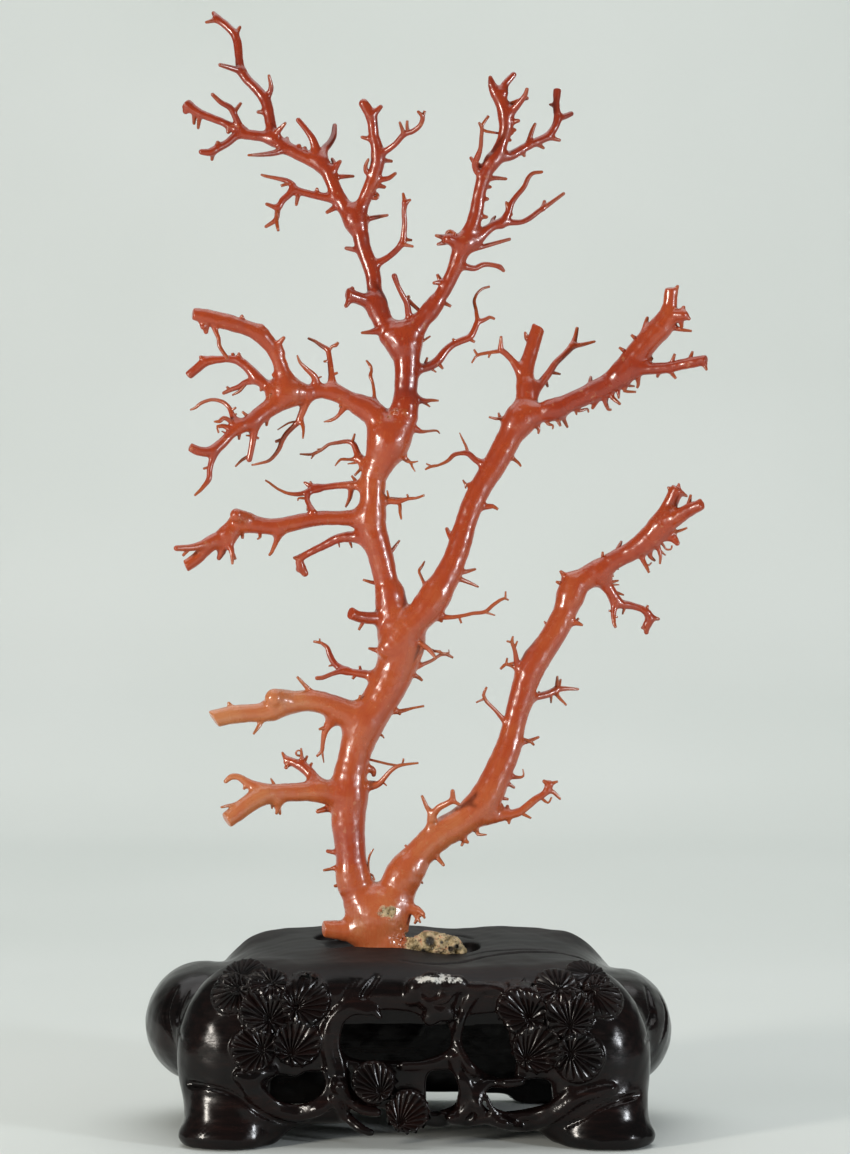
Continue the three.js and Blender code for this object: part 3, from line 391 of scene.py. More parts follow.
# %% The upper trunk
limb("upper_trunk", "upper", "upper stub", 2, [
    -7.9, 236, 4.1, -7.4, 240, 3.7, -7.4, 245, 3.7, -7, 250, 4, -7.1, 255, 4.4, -7.7, 259.5, 5.2, -8.2,
    262.5, 5.2])
limb("upper_trunk", "crown left stub", "upper", 4, [
    -9, 259.5, 4.8, -12.2, 262.8, 4.3, -14.7, 266.2, 3.5, -16.3, 270, 3, -17, 273, 2.75], blend=2)
limb("upper_trunk", "crown right stub", "upper", 1, [
    -7, 259.5, 4.6, -5, 263.6, 3.9, -3, 266.8, 3.2, 0, 270, 2.6, 2.2, 272.7, 2.35], blend=2)
limb("upper_trunk", "side twig", "upper", 8, [
    -6, 250, 1.9, -4, 250.7, 1.5, -2, 251.5, 1.45, 1, 252.5, 1.5, 3.5, 254.3, 1.5, 5.5, 257, 1.3, 8,
    259.3, 1.1,
    11, 260.7, 1.1, 14, 262, 1.1, 15.5, 264.5, 0.95, 16.5, 266.8, 0.9, 18.5, 267.6, 0.65, 20.5, 268.6, 0.5,
    22.3, 268, 0.3])
grow("side twig", [16.5, 267.5, 0.7, 16, 271, 0.5, 15.4, 274, 0.45, 16.2, 276.3, 0.35, 18, 278, 0.3,
                   20.5, 278.8, 0.25], [-1, 252.6, 0.6, -0.2, 255.2, 0.3],
                   [3.5, 253.2, 0.7, 5, 251.4, 0.35],
     [1, 251.5, 0.5, 2.7, 250.3, 0.2], [9.4, 260.3, 0.6, 8.2, 261.3, 0.35],
         [14, 261.3, 0.6, 15.6, 260.3, 0.35])
grow("upper", [-13.6, 264, 1.3, -17, 264, 1.2, -19.5, 263.6, 0.7, -22, 263.4, 0.4],
    [-3, 260, 0.5, 0.8, 262.3, 0.2],
     [-4.2, 241.5, 1.4, -1.5, 240.7, 0.95, 1, 240.9, 0.6, 3.6, 240.8, 0.3],
         [-2, 240.4, 0.6, 0.7, 238.7, 0.25])
grow("upper stub", [-4.2, 231.3, 1.2, -2.3, 230.5, 0.75, 0, 230.6, 0.5, 2.8, 230.8, 0.4, 3.9, 229.8, 0.2])
grow("upper stub", [-12, 234.8, 1, -10.8, 237.6, 0.6], [-12.5, 233.8, 0.7, -13.3, 235.5, 0.3],
     [-8.5, 234.4, 1, -7.6, 236.9, 0.6], [-10, 236.2, 0.7, -8.6, 237.3, 0.6, -7, 236.4, 0.5], lean=-4.3)

# %% The crown on the left
limb("crown_left_limb", "crown left", "crown left stub", 7, [
    -16.6, 271, 2.9, -17.2, 273.5, 2.7, -17.9, 278, 2.35, -18.3, 283, 2.4, -20, 287.5, 2.4, -21.7, 292, 2.4,
    -22.4, 296, 2.6, -23.7, 299.5, 3.3, -24.3, 302, 3.1])
limb("crown_left_limb", "crown stump", "crown left", -1, [
    -17.5, 273.4, 2.6, -20.5, 274.1, 2.1, -23.5, 275, 1.9, -26.8, 276, 2.1], cut=12)
limb("crown_left_limb", "crown twig", "crown left", 1, [
    -18, 285.8, 1.5, -16, 287, 1.1, -13, 288.8, 0.85, -10.1, 291.4, 0.85, -8.4, 294, 0.95, -8, 297, 0.75,
    -7.8, 300, 0.7, -8, 304, 0.65, -7.6, 306.8, 0.75])
grow("crown twig", [-7.7, 306.6, 0.6, -6, 307.7, 0.35], [-7.7, 306.8, 0.6, -8.3, 309.8, 0.3],
     [-8, 294.5, 0.6, -5.6, 294.3, 0.3], [-8.9, 293, 0.6, -5.1, 292.2, 0.3])
grow("crown stump", [-26, 274.6, 1, -27.3, 272.4, 0.6], [-25.9, 277, 0.9, -25.3, 278.2, 0.6])
grow("crown left", [-23.2, 291, 0.9, -27.2, 291.6, 0.5])
grow("crown right stub", [-6, 267.5, 1.2, -7, 273, 0.85, -8.5, 276, 0.75, -10, 279, 0.65, -11.2, 282.3,
    0.8],
     [-6.8, 274.5, 0.6, -6.1, 275.5, 0.4])

limb("crown_outer_left", "outer left", "crown left", 14, [
    -24.2, 301, 3.1, -25.9, 303, 2.8, -27.5, 304.9, 2.5, -30, 309, 2.2, -31.8, 313, 2.1, -33.2, 316.8, 2.3,
    -35.3, 319.2, 2.55, -38.4, 320.9, 2.25, -43, 323, 2, -48, 325.6, 2, -51.5, 328, 1.95, -56, 329, 1.6,
    -60.5, 329.6, 1.6, -64, 331.3, 1.2, -68, 333.4, 1.15, -72, 335, 1.15, -76, 336.6, 1.25, -79.2, 338.6,
    1.6,
    -80.8, 340, 1.7], cut=0)
limb("crown_outer_left", "outer upright", "outer left", 19, [
    -51.5, 328, 2, -52.4, 332.5, 1.65, -53.2, 337, 1.7, -54.3, 341, 1.65, -57, 344.5, 1.5, -60, 347.5, 1.4,
    -62.3, 351, 1.4, -63, 355, 1.15, -63.5, 360, 1.25, -64.6, 363, 1.2, -67.5, 366, 1.15, -71.2, 368.7,
    1.1], cut=0)
limb("crown_outer_left", "outer side", "outer left", 5, [
    -31.8, 308.3, 1.6, -34, 308.6, 1.3, -38, 309.3, 1.05, -42, 310.3, 1.05, -44.7, 310.8, 1.2, -46.5,
    309.3, 1,
    -48.5, 307.5, 0.95, -50.1, 305.2, 0.8, -53.8, 306.3, 0.4])
limb("crown_outer_left", "outer lower fork", "outer left", 8, [
    -62.5, 330, 1.5, -64.5, 328.7, 1.2, -67, 326.6, 1.1, -70, 325, 1.2, -72.5, 323.6, 1.15, -75.5, 323.7,
    0.8])
limb("crown_outer_left", "outer pair left", "outer left", 9, [
    -36.8, 321.5, 1.9, -37.5, 325, 1.4, -38.5, 328, 1.05, -40.5, 331, 0.8, -43.2, 334.3, 0.7])
limb("crown_outer_left", "outer pair right", "outer left", 18, [
    -35.3, 321, 1.7, -34.6, 324.4, 1.2, -33, 326.3, 1, -31.5, 329, 0.9, -31.1, 332.5, 0.6])
limb("crown_outer_left", "outer middle twig", "outer left", 9, [
    -62, 331, 1.4, -63, 332.8, 1, -64.5, 336, 0.9, -66, 338.5, 0.85, -69, 340.2, 0.7, -71.8, 342.8, 0.5])
grow("outer middle twig", [-64.4, 337.2, 0.6, -62.5, 339.8, 0.4])
grow("outer lower fork", [-71.6, 324, 0.8, -72, 321.2, 0.4], [-69.8, 325.4, 0.8, -70.1, 326.8, 0.5])
grow("outer left", [-77.8, 337, 0.8, -78, 333.2, 0.4], [-76, 336, 0.7, -76.6, 331.7, 0.35],
     [-79.9, 338.9, 1, -80.8, 337.2, 0.8], [-66.3, 332, 0.8, -66.6, 330.3, 0.5],
     [-51, 327.3, 1, -50, 330.5, 0.8, -49, 331.6, 0.6, -47.4, 333.4, 0.25],
     [-47.5, 325, 1.4, -51, 323.4, 0.85, -55, 322.8, 0.6, -60, 322.6, 0.2],
     [-47, 326.8, 0.8, -47, 328.2, 0.5], [-43, 324.3, 0.9, -43, 325.7, 0.6],
         [-41, 323.4, 0.9, -41, 325, 0.5],
     [-32.9, 317, 1.4, -31.5, 317.6, 1.1, -30.2, 319.5, 0.8, -29.3, 320.5, 0.45],
         [-30.9, 318.9, 0.7, -31.9, 321.3, 0.4],
     [-31.5, 315.2, 0.9, -28, 315.5, 0.6, -24.9, 315.6, 0.35], [-30.3, 305.6, 1, -33.6, 303.6, 0.45])
grow("outer upright", [-69.9, 367.9, 0.8, -73.9, 366.9, 0.35], [-63.9, 363.2, 0.7, -62.7, 365.3, 0.4],
     [-62, 350.5, 1, -65.5, 351.6, 0.8, -69.3, 352.7, 0.5], [-53.6, 342, 1, -52.3, 345, 0.7, -53, 349.1,
         0.35],
     [-53.5, 337, 0.9, -56.6, 337, 0.45], [-70.5, 368.3, 0.9, -71.5, 370, 0.5])
grow("outer side", [-44.9, 311.2, 1.1, -45.2, 312.6, 1, -47, 314, 0.75, -50, 314.8, 0.55, -53.5, 315.5, 0.4,
                    -55.7, 316.1, 0.2], [-46, 313.1, 0.5, -49, 312.4, 0.3],
     [-50, 305.4, 0.8, -50.2, 303.5, 0.75, -50.8, 301, 0.7, -54, 298.8, 0.4],
         [-50.5, 300.9, 0.5, -49.9, 297.4, 0.3],
     [-43.3, 309.4, 0.7, -43.9, 306.1, 0.35], [-37, 310, 0.7, -37, 311.3, 0.4])

limb("crown_inner_left", "inner left", "crown left", 0, [
    -24, 301, 2.8, -23.3, 303.8, 2.3, -22, 306, 2.05, -20.6, 309.2, 2, -18.9, 313, 2.2, -17.6, 317, 2.1,
    -16.7, 321, 2.15, -17, 325, 1.9, -18, 329, 1.55, -18.4, 333, 1.5, -19.2, 336, 1.75, -21.4, 339.8, 1.4])
limb("crown_inner_left", "inner twig", "inner left", -8, [
    -16.7, 322.6, 1.4, -14.5, 323.7, 0.95, -11, 326.2, 0.75, -8, 329.5, 0.8, -5, 330.6, 0.7, -2.6, 332.6,
    0.6,
    -1.8, 335.4, 0.6, -3.3, 337.1, 0.35])
grow("inner twig", [-1.9, 335, 0.5, -1.1, 337.4, 0.3], [-8, 329.6, 0.6, -9.4, 333.5, 0.3],
     [-6.5, 330.3, 0.5, -7, 332, 0.4, -6.9, 334.1, 0.25])
grow("inner left", [-18.5, 336, 1.2, -15.8, 338.7, 0.6], [-18, 327.7, 0.9, -22, 328.6, 0.4],
     [-18.8, 316, 0.9, -20.5, 317, 0.7, -20.8, 319, 0.5, -19.9, 321.2, 0.3],
     [-17.5, 314.2, 1, -15.5, 314.5, 0.8, -13, 315, 0.65, -10.9, 316.5, 0.4],
         [-16.8, 312.6, 0.8, -14.6, 312, 0.5],
     [-15.5, 321, 0.8, -12.2, 320.6, 0.4], [-19, 308.8, 0.7, -17.4, 308.2, 0.5, -16.7, 309.2, 0.45, -17.7,
         310.1, 0.4])
grow("crown left", [-22, 300.5, 1, -20, 301.3, 0.8, -17, 302, 0.6, -13.5, 302.6, 0.3])

# %% The crown on the right
limb("crown_right_limb", "crown right", "crown right stub", -5, [
    0.8, 270.8, 2.5, 2.5, 273.2, 2.3, 4.6, 276.3, 2.2, 7, 280.5, 2.15, 9, 285, 2.35, 10.4, 289, 2.6,
    12.1, 293.5, 3, 14.4, 298, 2.4, 16, 303, 2.1, 16.8, 308, 1.95, 17.7, 312, 1.95, 19, 316.5, 2.2,
    21.3, 320.3, 2.3, 23.5, 324, 2.05, 25, 328, 1.8, 26, 332, 2.2, 26, 335.3, 2.5, 25, 339, 2.2,
    22.9, 343, 1.9, 21.4, 346, 1.2, 20.8, 348.5, 0.6])
limb("crown_right_limb", "right twig", "crown right", 5, [
    13.5, 293, 2.4, 16, 294, 1.9, 18.3, 296.4, 1.6, 21, 298.6, 1.35, 24, 299.8, 1.2, 27, 300.2, 0.95, 31,
    300.3, 0.7,
    34, 301.7, 0.75, 37, 304, 0.7, 40, 306, 0.6, 45.2, 309.8, 0.4])
limb("crown_right_limb", "right twig upper", "right twig", 1, [
    24.4, 299.8, 1.4, 25.5, 301.2, 1.2, 26.8, 303.5, 1, 27.8, 306.5, 0.8, 29.5, 309, 0.7, 32, 312, 0.65,
    33.4, 315, 0.6, 35, 316.6, 0.5, 37.9, 317, 0.4])
grow("crown right", [25, 343.5, 1.6, 25.6, 346, 1.1, 28.5, 349.4, 0.8], [26.5, 336.5, 1.7, 28.3, 337.6, 1.2,
     30.5, 340, 0.85, 32.3, 342.5, 0.65, 33, 344.6, 0.45], [31.4, 341.2, 0.6, 33, 341.6, 0.5],
     [27.8, 333.6, 0.9, 30.1, 334.1, 0.5], [27.2, 331, 0.8, 28.9, 331, 0.45],
         [26.5, 329.5, 0.8, 28, 330, 0.4],
     [26, 328, 0.8, 27.4, 327.6, 0.4])
grow("crown right", [11.5, 292.9, 2.4, 9.3, 293.8, 2, 7, 294.6, 1.6],
    [7.5, 294.8, 1, 5, 295.3, 0.75, 2.7, 295.8, 0.35],
     [7.4, 294, 0.9, 5.6, 293.5, 0.7, 3.3, 292.9, 0.35], [7, 295.5, 0.6, 6.5, 296.8, 0.5, 7.6, 297.3, 0.4,
     8.9, 296.4, 0.5], lean=-3)
grow("crown right", [5.4, 280, 1.1, 4, 280.2, 0.8, 2, 280, 0.45], [4.3, 280.6, 0.6, 3.1, 282.9, 0.35],
     [5, 273.6, 0.7, 7.7, 272.2, 0.35], [18, 308, 0.8, 19.8, 308, 0.45], [17, 302.3, 0.9, 19.5, 302, 0.45],
     [18.8, 312.2, 0.8, 20.7, 312, 0.45], [18.2, 316, 1.1, 16.4, 317, 0.9, 15.6, 319.5, 0.85, 16.5, 322,
         0.85,
     17.5, 325, 0.55, 17.8, 329, 0.5, 18, 331.5, 0.5, 17.1, 333.3, 0.3],
     [17.9, 331.3, 0.4, 20.2, 335.7, 0.3],
     [15.6, 320.2, 0.7, 14.3, 321.7, 0.4], [19.5, 314.4, 0.9, 22, 315, 0.65, 26, 314.7, 0.35])
grow("crown right", [10.5, 285.7, 1.3, 12.5, 285.4, 1, 15.5, 284.9, 0.8, 18, 286, 0.75, 20, 286.2, 0.65,
     22.5, 285.8, 0.65, 24, 285.3, 0.75, 25.2, 284.1, 0.4], [14, 291.3, 0.9, 17, 291.8, 0.7, 20, 292.6, 0.6,
     27.2, 294.6, 0.4])
grow("right twig", [38.2, 304.8, 0.6, 38.8, 307.2, 0.4], [21.5, 299, 0.8, 21.5, 301, 0.5, 22.4, 302.1, 0.3])
grow("right twig upper", [26.9, 304.2, 0.6, 26.1, 306.8, 0.35], [26.2, 302.5, 0.6, 27.8, 302.8, 0.35])

limb("crown_right_branch", "right branch", "crown right", 6, [
    21.5, 320.6, 2, 24, 321.8, 1.7, 28, 322.6, 1.4, 32, 325, 1.25, 36, 327, 1.2, 40, 329, 1.2, 42.3, 332,
    1.15,
    43.3, 335, 1.15, 42.8, 338, 1, 42.8, 341, 0.95, 43.1, 344.6, 1.2], cut=0)
grow("right branch", [43.4, 335, 0.9, 45.5, 335.5, 0.85, 47.7, 336.4, 0.7],
    [42.8, 339, 0.7, 40.8, 339.5, 0.35],
     [33.5, 326, 0.9, 34, 328.6, 0.65, 34.8, 331, 0.55, 35.7, 333, 0.35],
         [40.3, 328.6, 0.8, 43.8, 327.6, 0.4],
     [36, 326.6, 0.7, 38.5, 325, 0.35], [31.4, 324, 0.7, 32.1, 322.4, 0.35])

# %% The limbs on the right
limb("right_limb", "right limb", "right stub", 5, [
    0.5, 172.6, 4.6, 4, 178, 4.6, 7, 183.5, 4.3, 9, 188.5, 3.95, 10.6, 193.5, 3.85, 12.3, 199, 3.6, 14,
    204, 3.7,
    16.2, 209, 3.65, 18.5, 213.5, 3.75, 21, 217.3, 3.9, 23.5, 221.6, 4, 26, 226.5, 4.2, 28.5, 231, 4.4,
    30.6, 235, 4.4, 31.8, 237, 3.9], blend=3)
limb("right_limb", "cut end stub", "right limb", 7, [30, 233.5, 4.3, 32, 237.5, 3.6, 32.8, 241, 3.1,
                                                     33, 245, 2.95])
limb("right_limb", "thorny stub", "right limb", 3, [31, 234.5, 4.2, 34.5, 235.8, 3.6, 38, 236.7, 3.1,
                                                    42.5, 237.9, 3.15])
limb("right_limb", "floating twig", "right limb", 0, [
    20.8, 218, 1.9, 18, 219.8, 1.3, 15.5, 221.3, 1.05, 13.3, 223.2, 1, 10.5, 223.2, 0.75, 8.5, 222.6, 0.8,
    6.5, 220.7, 0.65, 3.5, 219.3, 0.5, 1, 218.8, 0.55, -1, 217.8, 0.3])
limb("right_limb", "low twig", "right limb", -5, [
    1.5, 170.5, 1.7, 4, 168.9, 1.1, 8, 168.6, 0.75, 12, 169.2, 0.65, 15, 169.9, 0.65, 19, 170.4, 0.7,
    21.5, 172.5, 0.65,
    24, 174.3, 0.6, 26.2, 175.1, 0.4])
grow("floating twig", [1.3, 218.8, 0.45, -0.6, 219.8, 0.25],
    [13.4, 223, 0.7, 12.7, 225.5, 0.5, 11.7, 227.5, 0.4,
     10.5, 230.1, 0.2])
grow("low twig", [25.8, 175, 0.4, 25.9, 177.2, 0.3], [25.3, 175, 0.4, 26.9, 174.3, 0.3], [19, 170.3, 0.5,
     22.3, 169.2, 0.25], [10.4, 168.7, 0.5, 11.1, 166.6, 0.35])
grow("right limb", [7.6, 195.5, 1, 6.3, 198, 0.7], [11.6, 183.7, 0.9, 15.7, 184.6, 0.5], [10.3, 181.5, 0.9,
     14, 180, 0.65, 16.8, 178.7, 0.35], [17.4, 205.4, 1.2, 20, 205.5, 1, 21.5, 205.6, 0.8, 23.4, 204.5,
     0.4],
     [14.6, 212.5, 1.1, 12.8, 212.8, 0.6, 11.6, 214.4, 0.25], [13, 212.8, 0.5, 12.5, 211.5, 0.3],
     [27, 222.5, 0.9, 30, 220.2, 0.55, 31, 218.8, 0.3], [26.8, 233, 1.5, 24.3, 234.8, 0.7, 23.5, 236.7,
         0.35],
     [24.5, 234.6, 0.6, 22.5, 234.8, 0.5, 20.4, 235.3, 0.35])
grow("right stub", [-1.6, 177, 0.9, -0.9, 178.5, 0.65, -2, 181.5, 0.55, -3, 184, 0.5, -2, 185.6, 0.5,
    -1.1, 187.3, 0.25],
     [-1.2, 176.6, 0.5, -2.8, 176.5, 0.25], [3.4, 168.4, 0.9, 4.5, 167.2, 0.5])

limb("right_cut_limb", "cut limb", "cut end stub", 13, [
    33, 243.5, 3, 32.5, 248, 2.8, 32.8, 252, 2.65, 34, 256, 2.35, 35.1, 260, 2.25, 36.8, 265.2, 2.3],
    cut=-14)
limb("right_cut_limb", "cut limb left", "cut limb", 5, [
    31.8, 249.6, 2, 30, 251.6, 1.5, 28, 254.3, 1, 25.5, 256.8, 0.95, 24.3, 257.7, 1, 24.3, 260, 0.65,
    24.4, 262.3, 0.35])
limb("right_cut_limb", "cut limb right", "cut limb", 17, [
    34, 242.5, 2.2, 35.7, 244.3, 1.7, 38, 247, 1.4, 40.5, 250.3, 1.2, 42.5, 253.3, 1.05, 45.5, 256.2, 0.95,
    48, 259, 1.1, 49.1, 262, 0.7, 49.7, 264.9, 0.5])
grow("cut limb left", [24.6, 257.4, 0.7, 21, 256.9, 0.55, 17.5, 256.3, 0.5, 16.5, 256, 0.45, 15.3, 257.9,
    0.25],
     [16.8, 256.1, 0.4, 14.6, 253.4, 0.25], [21, 256.8, 0.4, 20.2, 255.1, 0.25])
grow("cut limb right", [48.3, 259, 0.9, 51.5, 259.5, 0.65, 55.5, 260.5, 0.4],
    [41, 250.3, 0.7, 44.2, 249.6, 0.3],
     [39.2, 247.4, 0.7, 39.9, 245.4, 0.4])
grow("cut limb", [33, 261.5, 0.8, 32.4, 263.4, 0.4])

limb("thorny_limb", "thorny", "thorny stub", -7, [
    41.5, 237.7, 3.15, 44, 238.5, 3.2, 48, 240.7, 3.1, 52, 242.3, 3.2, 56, 244, 3.5, 60, 246.1, 3.6, 63.8,
    248.9, 4,
    65.8, 251.4, 3.9, 68, 254.3, 4, 71, 257.6, 4, 74, 261.3, 3.8, 77.6, 265.2, 3.9, 79.9, 268.6, 3.4,
    80.7, 272.8, 2.25, 81.1, 278.4, 1.9], cut=6)
limb("thorny_limb", "thorny lump", "thorny", -9, [80, 268.4, 2.6, 83.3, 269.3, 2, 85, 269.3, 1.7],
    blend=1.2)
grow("thorny", [82, 276.5, 0.9, 83.2, 278.9, 0.4], [82, 265.3, 1, 84, 264.5, 0.6, 87.9, 264, 0.3],
     [73, 262.4, 1.4, 72.3, 264, 0.9, 72.5, 266, 0.75, 73.1, 268.4, 0.45],
         [70.4, 260.4, 1, 67.8, 262.7, 0.35],
     [66.6, 256.5, 0.9, 63.8, 258.5, 0.35], [54.1, 246.2, 0.9, 54.3, 248.8, 0.4])
grow("thorny lump", [84.5, 270.3, 1, 85.2, 271.9, 0.5], [85.4, 269, 1, 87, 268.1, 0.5],
    [84.2, 268.3, 1, 84.6, 265.5, 0.5])
limb("thorny_lower_fork", "thorny lower", "thorny", -13, [
    64.5, 249.8, 3, 68, 251, 2.5, 72, 251.4, 2, 76, 251.5, 1.85, 80, 251.8, 1.8, 84, 252.7, 1.7, 88,
    253.5, 1.7,
    92.9, 254.4, 1.7], cut=-6)
grow("thorny lower", [81.2, 253, 0.8, 82.3, 256.4, 0.35], [87.3, 254.5, 0.8, 88.2, 257.2, 0.35],
     [92, 253, 0.8, 92.8, 251.2, 0.45], [80.8, 250.6, 0.8, 82.7, 248.1, 0.4], [70, 250, 1, 70.1, 246.5, 0.6,
     69.7, 245, 0.35], [73, 253, 0.9, 74.6, 254.8, 0.5], [77, 250.4, 0.8, 76.4, 248.6, 0.4])
grow("thorny", [66.3, 248.3, 1.2, 65.8, 245.6, 0.75, 65.5, 244, 0.55, 69.4, 243.7, 0.35],
    [66.3, 246, 0.6, 68.9, 245.6, 0.25],
     [63.2, 245.4, 1, 63.6, 241.5, 0.3], [60.8, 243.5, 1, 61.5, 241.8, 0.8, 64.1, 239.6, 0.45],
     [58.9, 242, 1.2, 59.2, 240, 0.8, 60, 238, 0.6, 61.2, 237.8, 0.35],
         [56.2, 241.3, 1.1, 54.9, 238.4, 0.6],
     [49.8, 238.6, 0.9, 50.3, 237.4, 0.6, 53, 238, 0.45, 53.5, 236.9, 0.3],
         [49.2, 238, 0.8, 49.5, 236, 0.25])
grow("thorny stub", [44.6, 236, 1.1, 45.3, 234.4, 0.8, 46.5, 231.9, 0.45],
    [43.4, 235.6, 0.9, 43.5, 233.8, 0.7,
     44.2, 232.3, 0.4], [39.6, 234.5, 0.9, 39.9, 233.1, 0.6, 41.6, 232.5, 0.4, 41.5, 231.3, 0.25],
     [36.4, 233, 1, 36.9, 231, 0.6, 36.7, 229.7, 0.3])

# %% The second stem, low on the right
limb("right_stem", "stem", "stem root", 9, [
    -8.2, 82.6, 5.6, -6, 85.6, 5.2, -3.3, 89.2, 4.9, 0.6, 93.2, 4.85, 5, 96.9, 4.9, 10, 99.8, 5, 14.5,
    103, 5.2,
    18.3, 107, 5.4, 21, 111.5, 5.2, 23, 116, 4.85, 25, 120.5, 4.6, 26.7, 125, 4.3, 28, 130, 3.95, 29.3,
    135, 3.85,
    30.7, 140, 3.95, 32.1, 145, 4.2, 33.6, 149.7, 4.6, 36.4, 154.9, 4.6, 40, 160, 4.25, 43, 165, 4.15,
    45.4, 170, 4.05, 47, 174.5, 4.1, 48.6, 179.3, 4.1])
limb("right_stem", "stem top", "stem", 9, [47.6, 176, 4.1, 49.6, 179.7, 3.9, 53, 181.8, 3.35, 56, 183.3,
    3.4])
limb("right_stem", "stem fork twig", "stem", -7, [
    0.8, 94.5, 2.2, 1, 98.5, 1.65, 1.4, 102, 1.3, 3.5, 105, 1.15, 6.5, 106.6, 1, 8.1, 107.8, 1.05, 8.2,
    110.6, 0.75])
limb("right_stem", "stem fork twig left", "stem fork twig", -3, [
    1.3, 101.5, 1.3, 0.7, 103.6, 1, -0.5, 105.5, 0.75, -2.1, 109.2, 0.45])
limb("right_stem", "stem long twig", "stem", 3, [
    20, 102.6, 3.2, 24, 102.6, 2.2, 27, 102.8, 1.65, 30.5, 103.8, 1.4, 33, 105.6, 1.3, 36, 108, 1.25, 39,
    110, 1.15,
    40.5, 112.8, 1.3])
limb("right_stem", "stem left twig", "stem", 0, [
    28.2, 131.5, 1.3, 25.5, 134, 0.95, 22.5, 137.5, 0.65, 19.5, 140.5, 0.65, 18.5, 142.6, 0.6, 19.6,
    145.3, 0.4])
limb("right_stem", "stem right twig", "stem", 14, [
    31, 139.5, 2.4, 33.5, 141, 1.7, 36, 142, 1.25, 40, 143, 1.3, 43, 144.5, 1.2, 46, 144.8, 0.8, 50,
    144.6, 0.5])
limb("right_stem", "stem upper twig", "stem", 0, [
    31, 149.5, 1.6, 29.7, 153, 1.05, 29, 157.2, 0.75, 28, 160.2, 0.65, 28.3, 162.2, 0.35])
grow("stem fork twig", [8, 107.6, 0.8, 10.3, 106.2, 0.6])
grow("stem long twig", [40.2, 113, 1, 38.7, 113.9, 0.7], [40.8, 113, 0.9, 43.3, 113.9, 0.35],
     [39.8, 110.6, 1, 41.6, 110.4, 0.75, 44, 108.1, 0.5], [37.5, 108.6, 0.6, 40, 106.7, 0.4, 41.2, 108.6,
         0.3],
     [31, 103.4, 0.7, 34.4, 101.6, 0.35], [26.3, 103.8, 1, 26.5, 105.6, 0.6],
         [24.5, 104.4, 1, 24.5, 106, 0.6],
     [27, 101.8, 0.9, 27, 100, 0.5])
grow("stem left twig", [18.9, 141.5, 0.5, 16.1, 140.2, 0.3])
grow("stem right twig", [43, 145.2, 0.9, 43.1, 148.9, 0.35], [43.6, 145.4, 0.7, 44.2, 147.9, 0.4],
     [42.5, 143.8, 0.8, 43.2, 142.4, 0.7, 46.1, 139.3, 0.35], [41, 142.6, 0.6, 41, 140, 0.3],
         [37, 142.4, 0.8,
     37, 143.9, 0.4])
grow("stem upper twig", [30, 150.6, 0.8, 29.3, 151.4, 0.65, 27.5, 152.5, 0.55, 26, 153, 0.65, 24.1, 151.3,
    0.4],
     [26.3, 153, 0.5, 26.4, 155, 0.35], [28.2, 160.2, 0.5, 26.3, 160.6, 0.35],
         [28.9, 158.6, 0.5, 29.8, 160.6, 0.3])
grow("stem", [-5.4, 90.3, 0.9, -7.7, 92.7, 0.4], [2.2, 89.6, 1.1, 5.2, 86, 0.55],
    [-3.2, 81.3, 0.6, -1.8, 79.9, 0.35],
     [11.4, 95.6, 1.3, 12.1, 94.4, 1, 13.2, 93.6, 0.6], [11.8, 94.6, 0.7, 11.1, 92.4, 0.4],
     [15.6, 98.4, 1, 16.7, 96.3, 0.65, 19.6, 96.1, 0.2], [23.2, 108.6, 0.9, 26.8, 107.9, 0.45],
     [26, 116.3, 1.3, 28, 115.5, 0.95, 30, 115.2, 0.6, 31.8, 115.7, 0.4, 31.6, 118, 0.2],
         [26.3, 113.4, 0.8, 28.7, 111.8, 0.5],
     [29, 126.8, 1.5, 31, 127, 1.1, 33.5, 127.3, 0.8, 36.8, 128.6, 0.5], [33.8, 127.3, 0.6, 35.3, 126, 0.4],
     [36.6, 157.2, 0.7, 34.7, 158.5, 0.3], [40, 165.8, 0.6, 38.7, 167.2, 0.3],
         [46.2, 167.2, 1.5, 49, 166.8, 1.1,
     51.6, 165.9, 0.35], [48.8, 167.2, 0.6, 50.3, 168.3, 0.4])
grow("stem top", [46.5, 181.5, 1.4, 44.3, 183.8, 0.6], [45.6, 179.4, 1.2, 42.8, 180.4, 0.45])

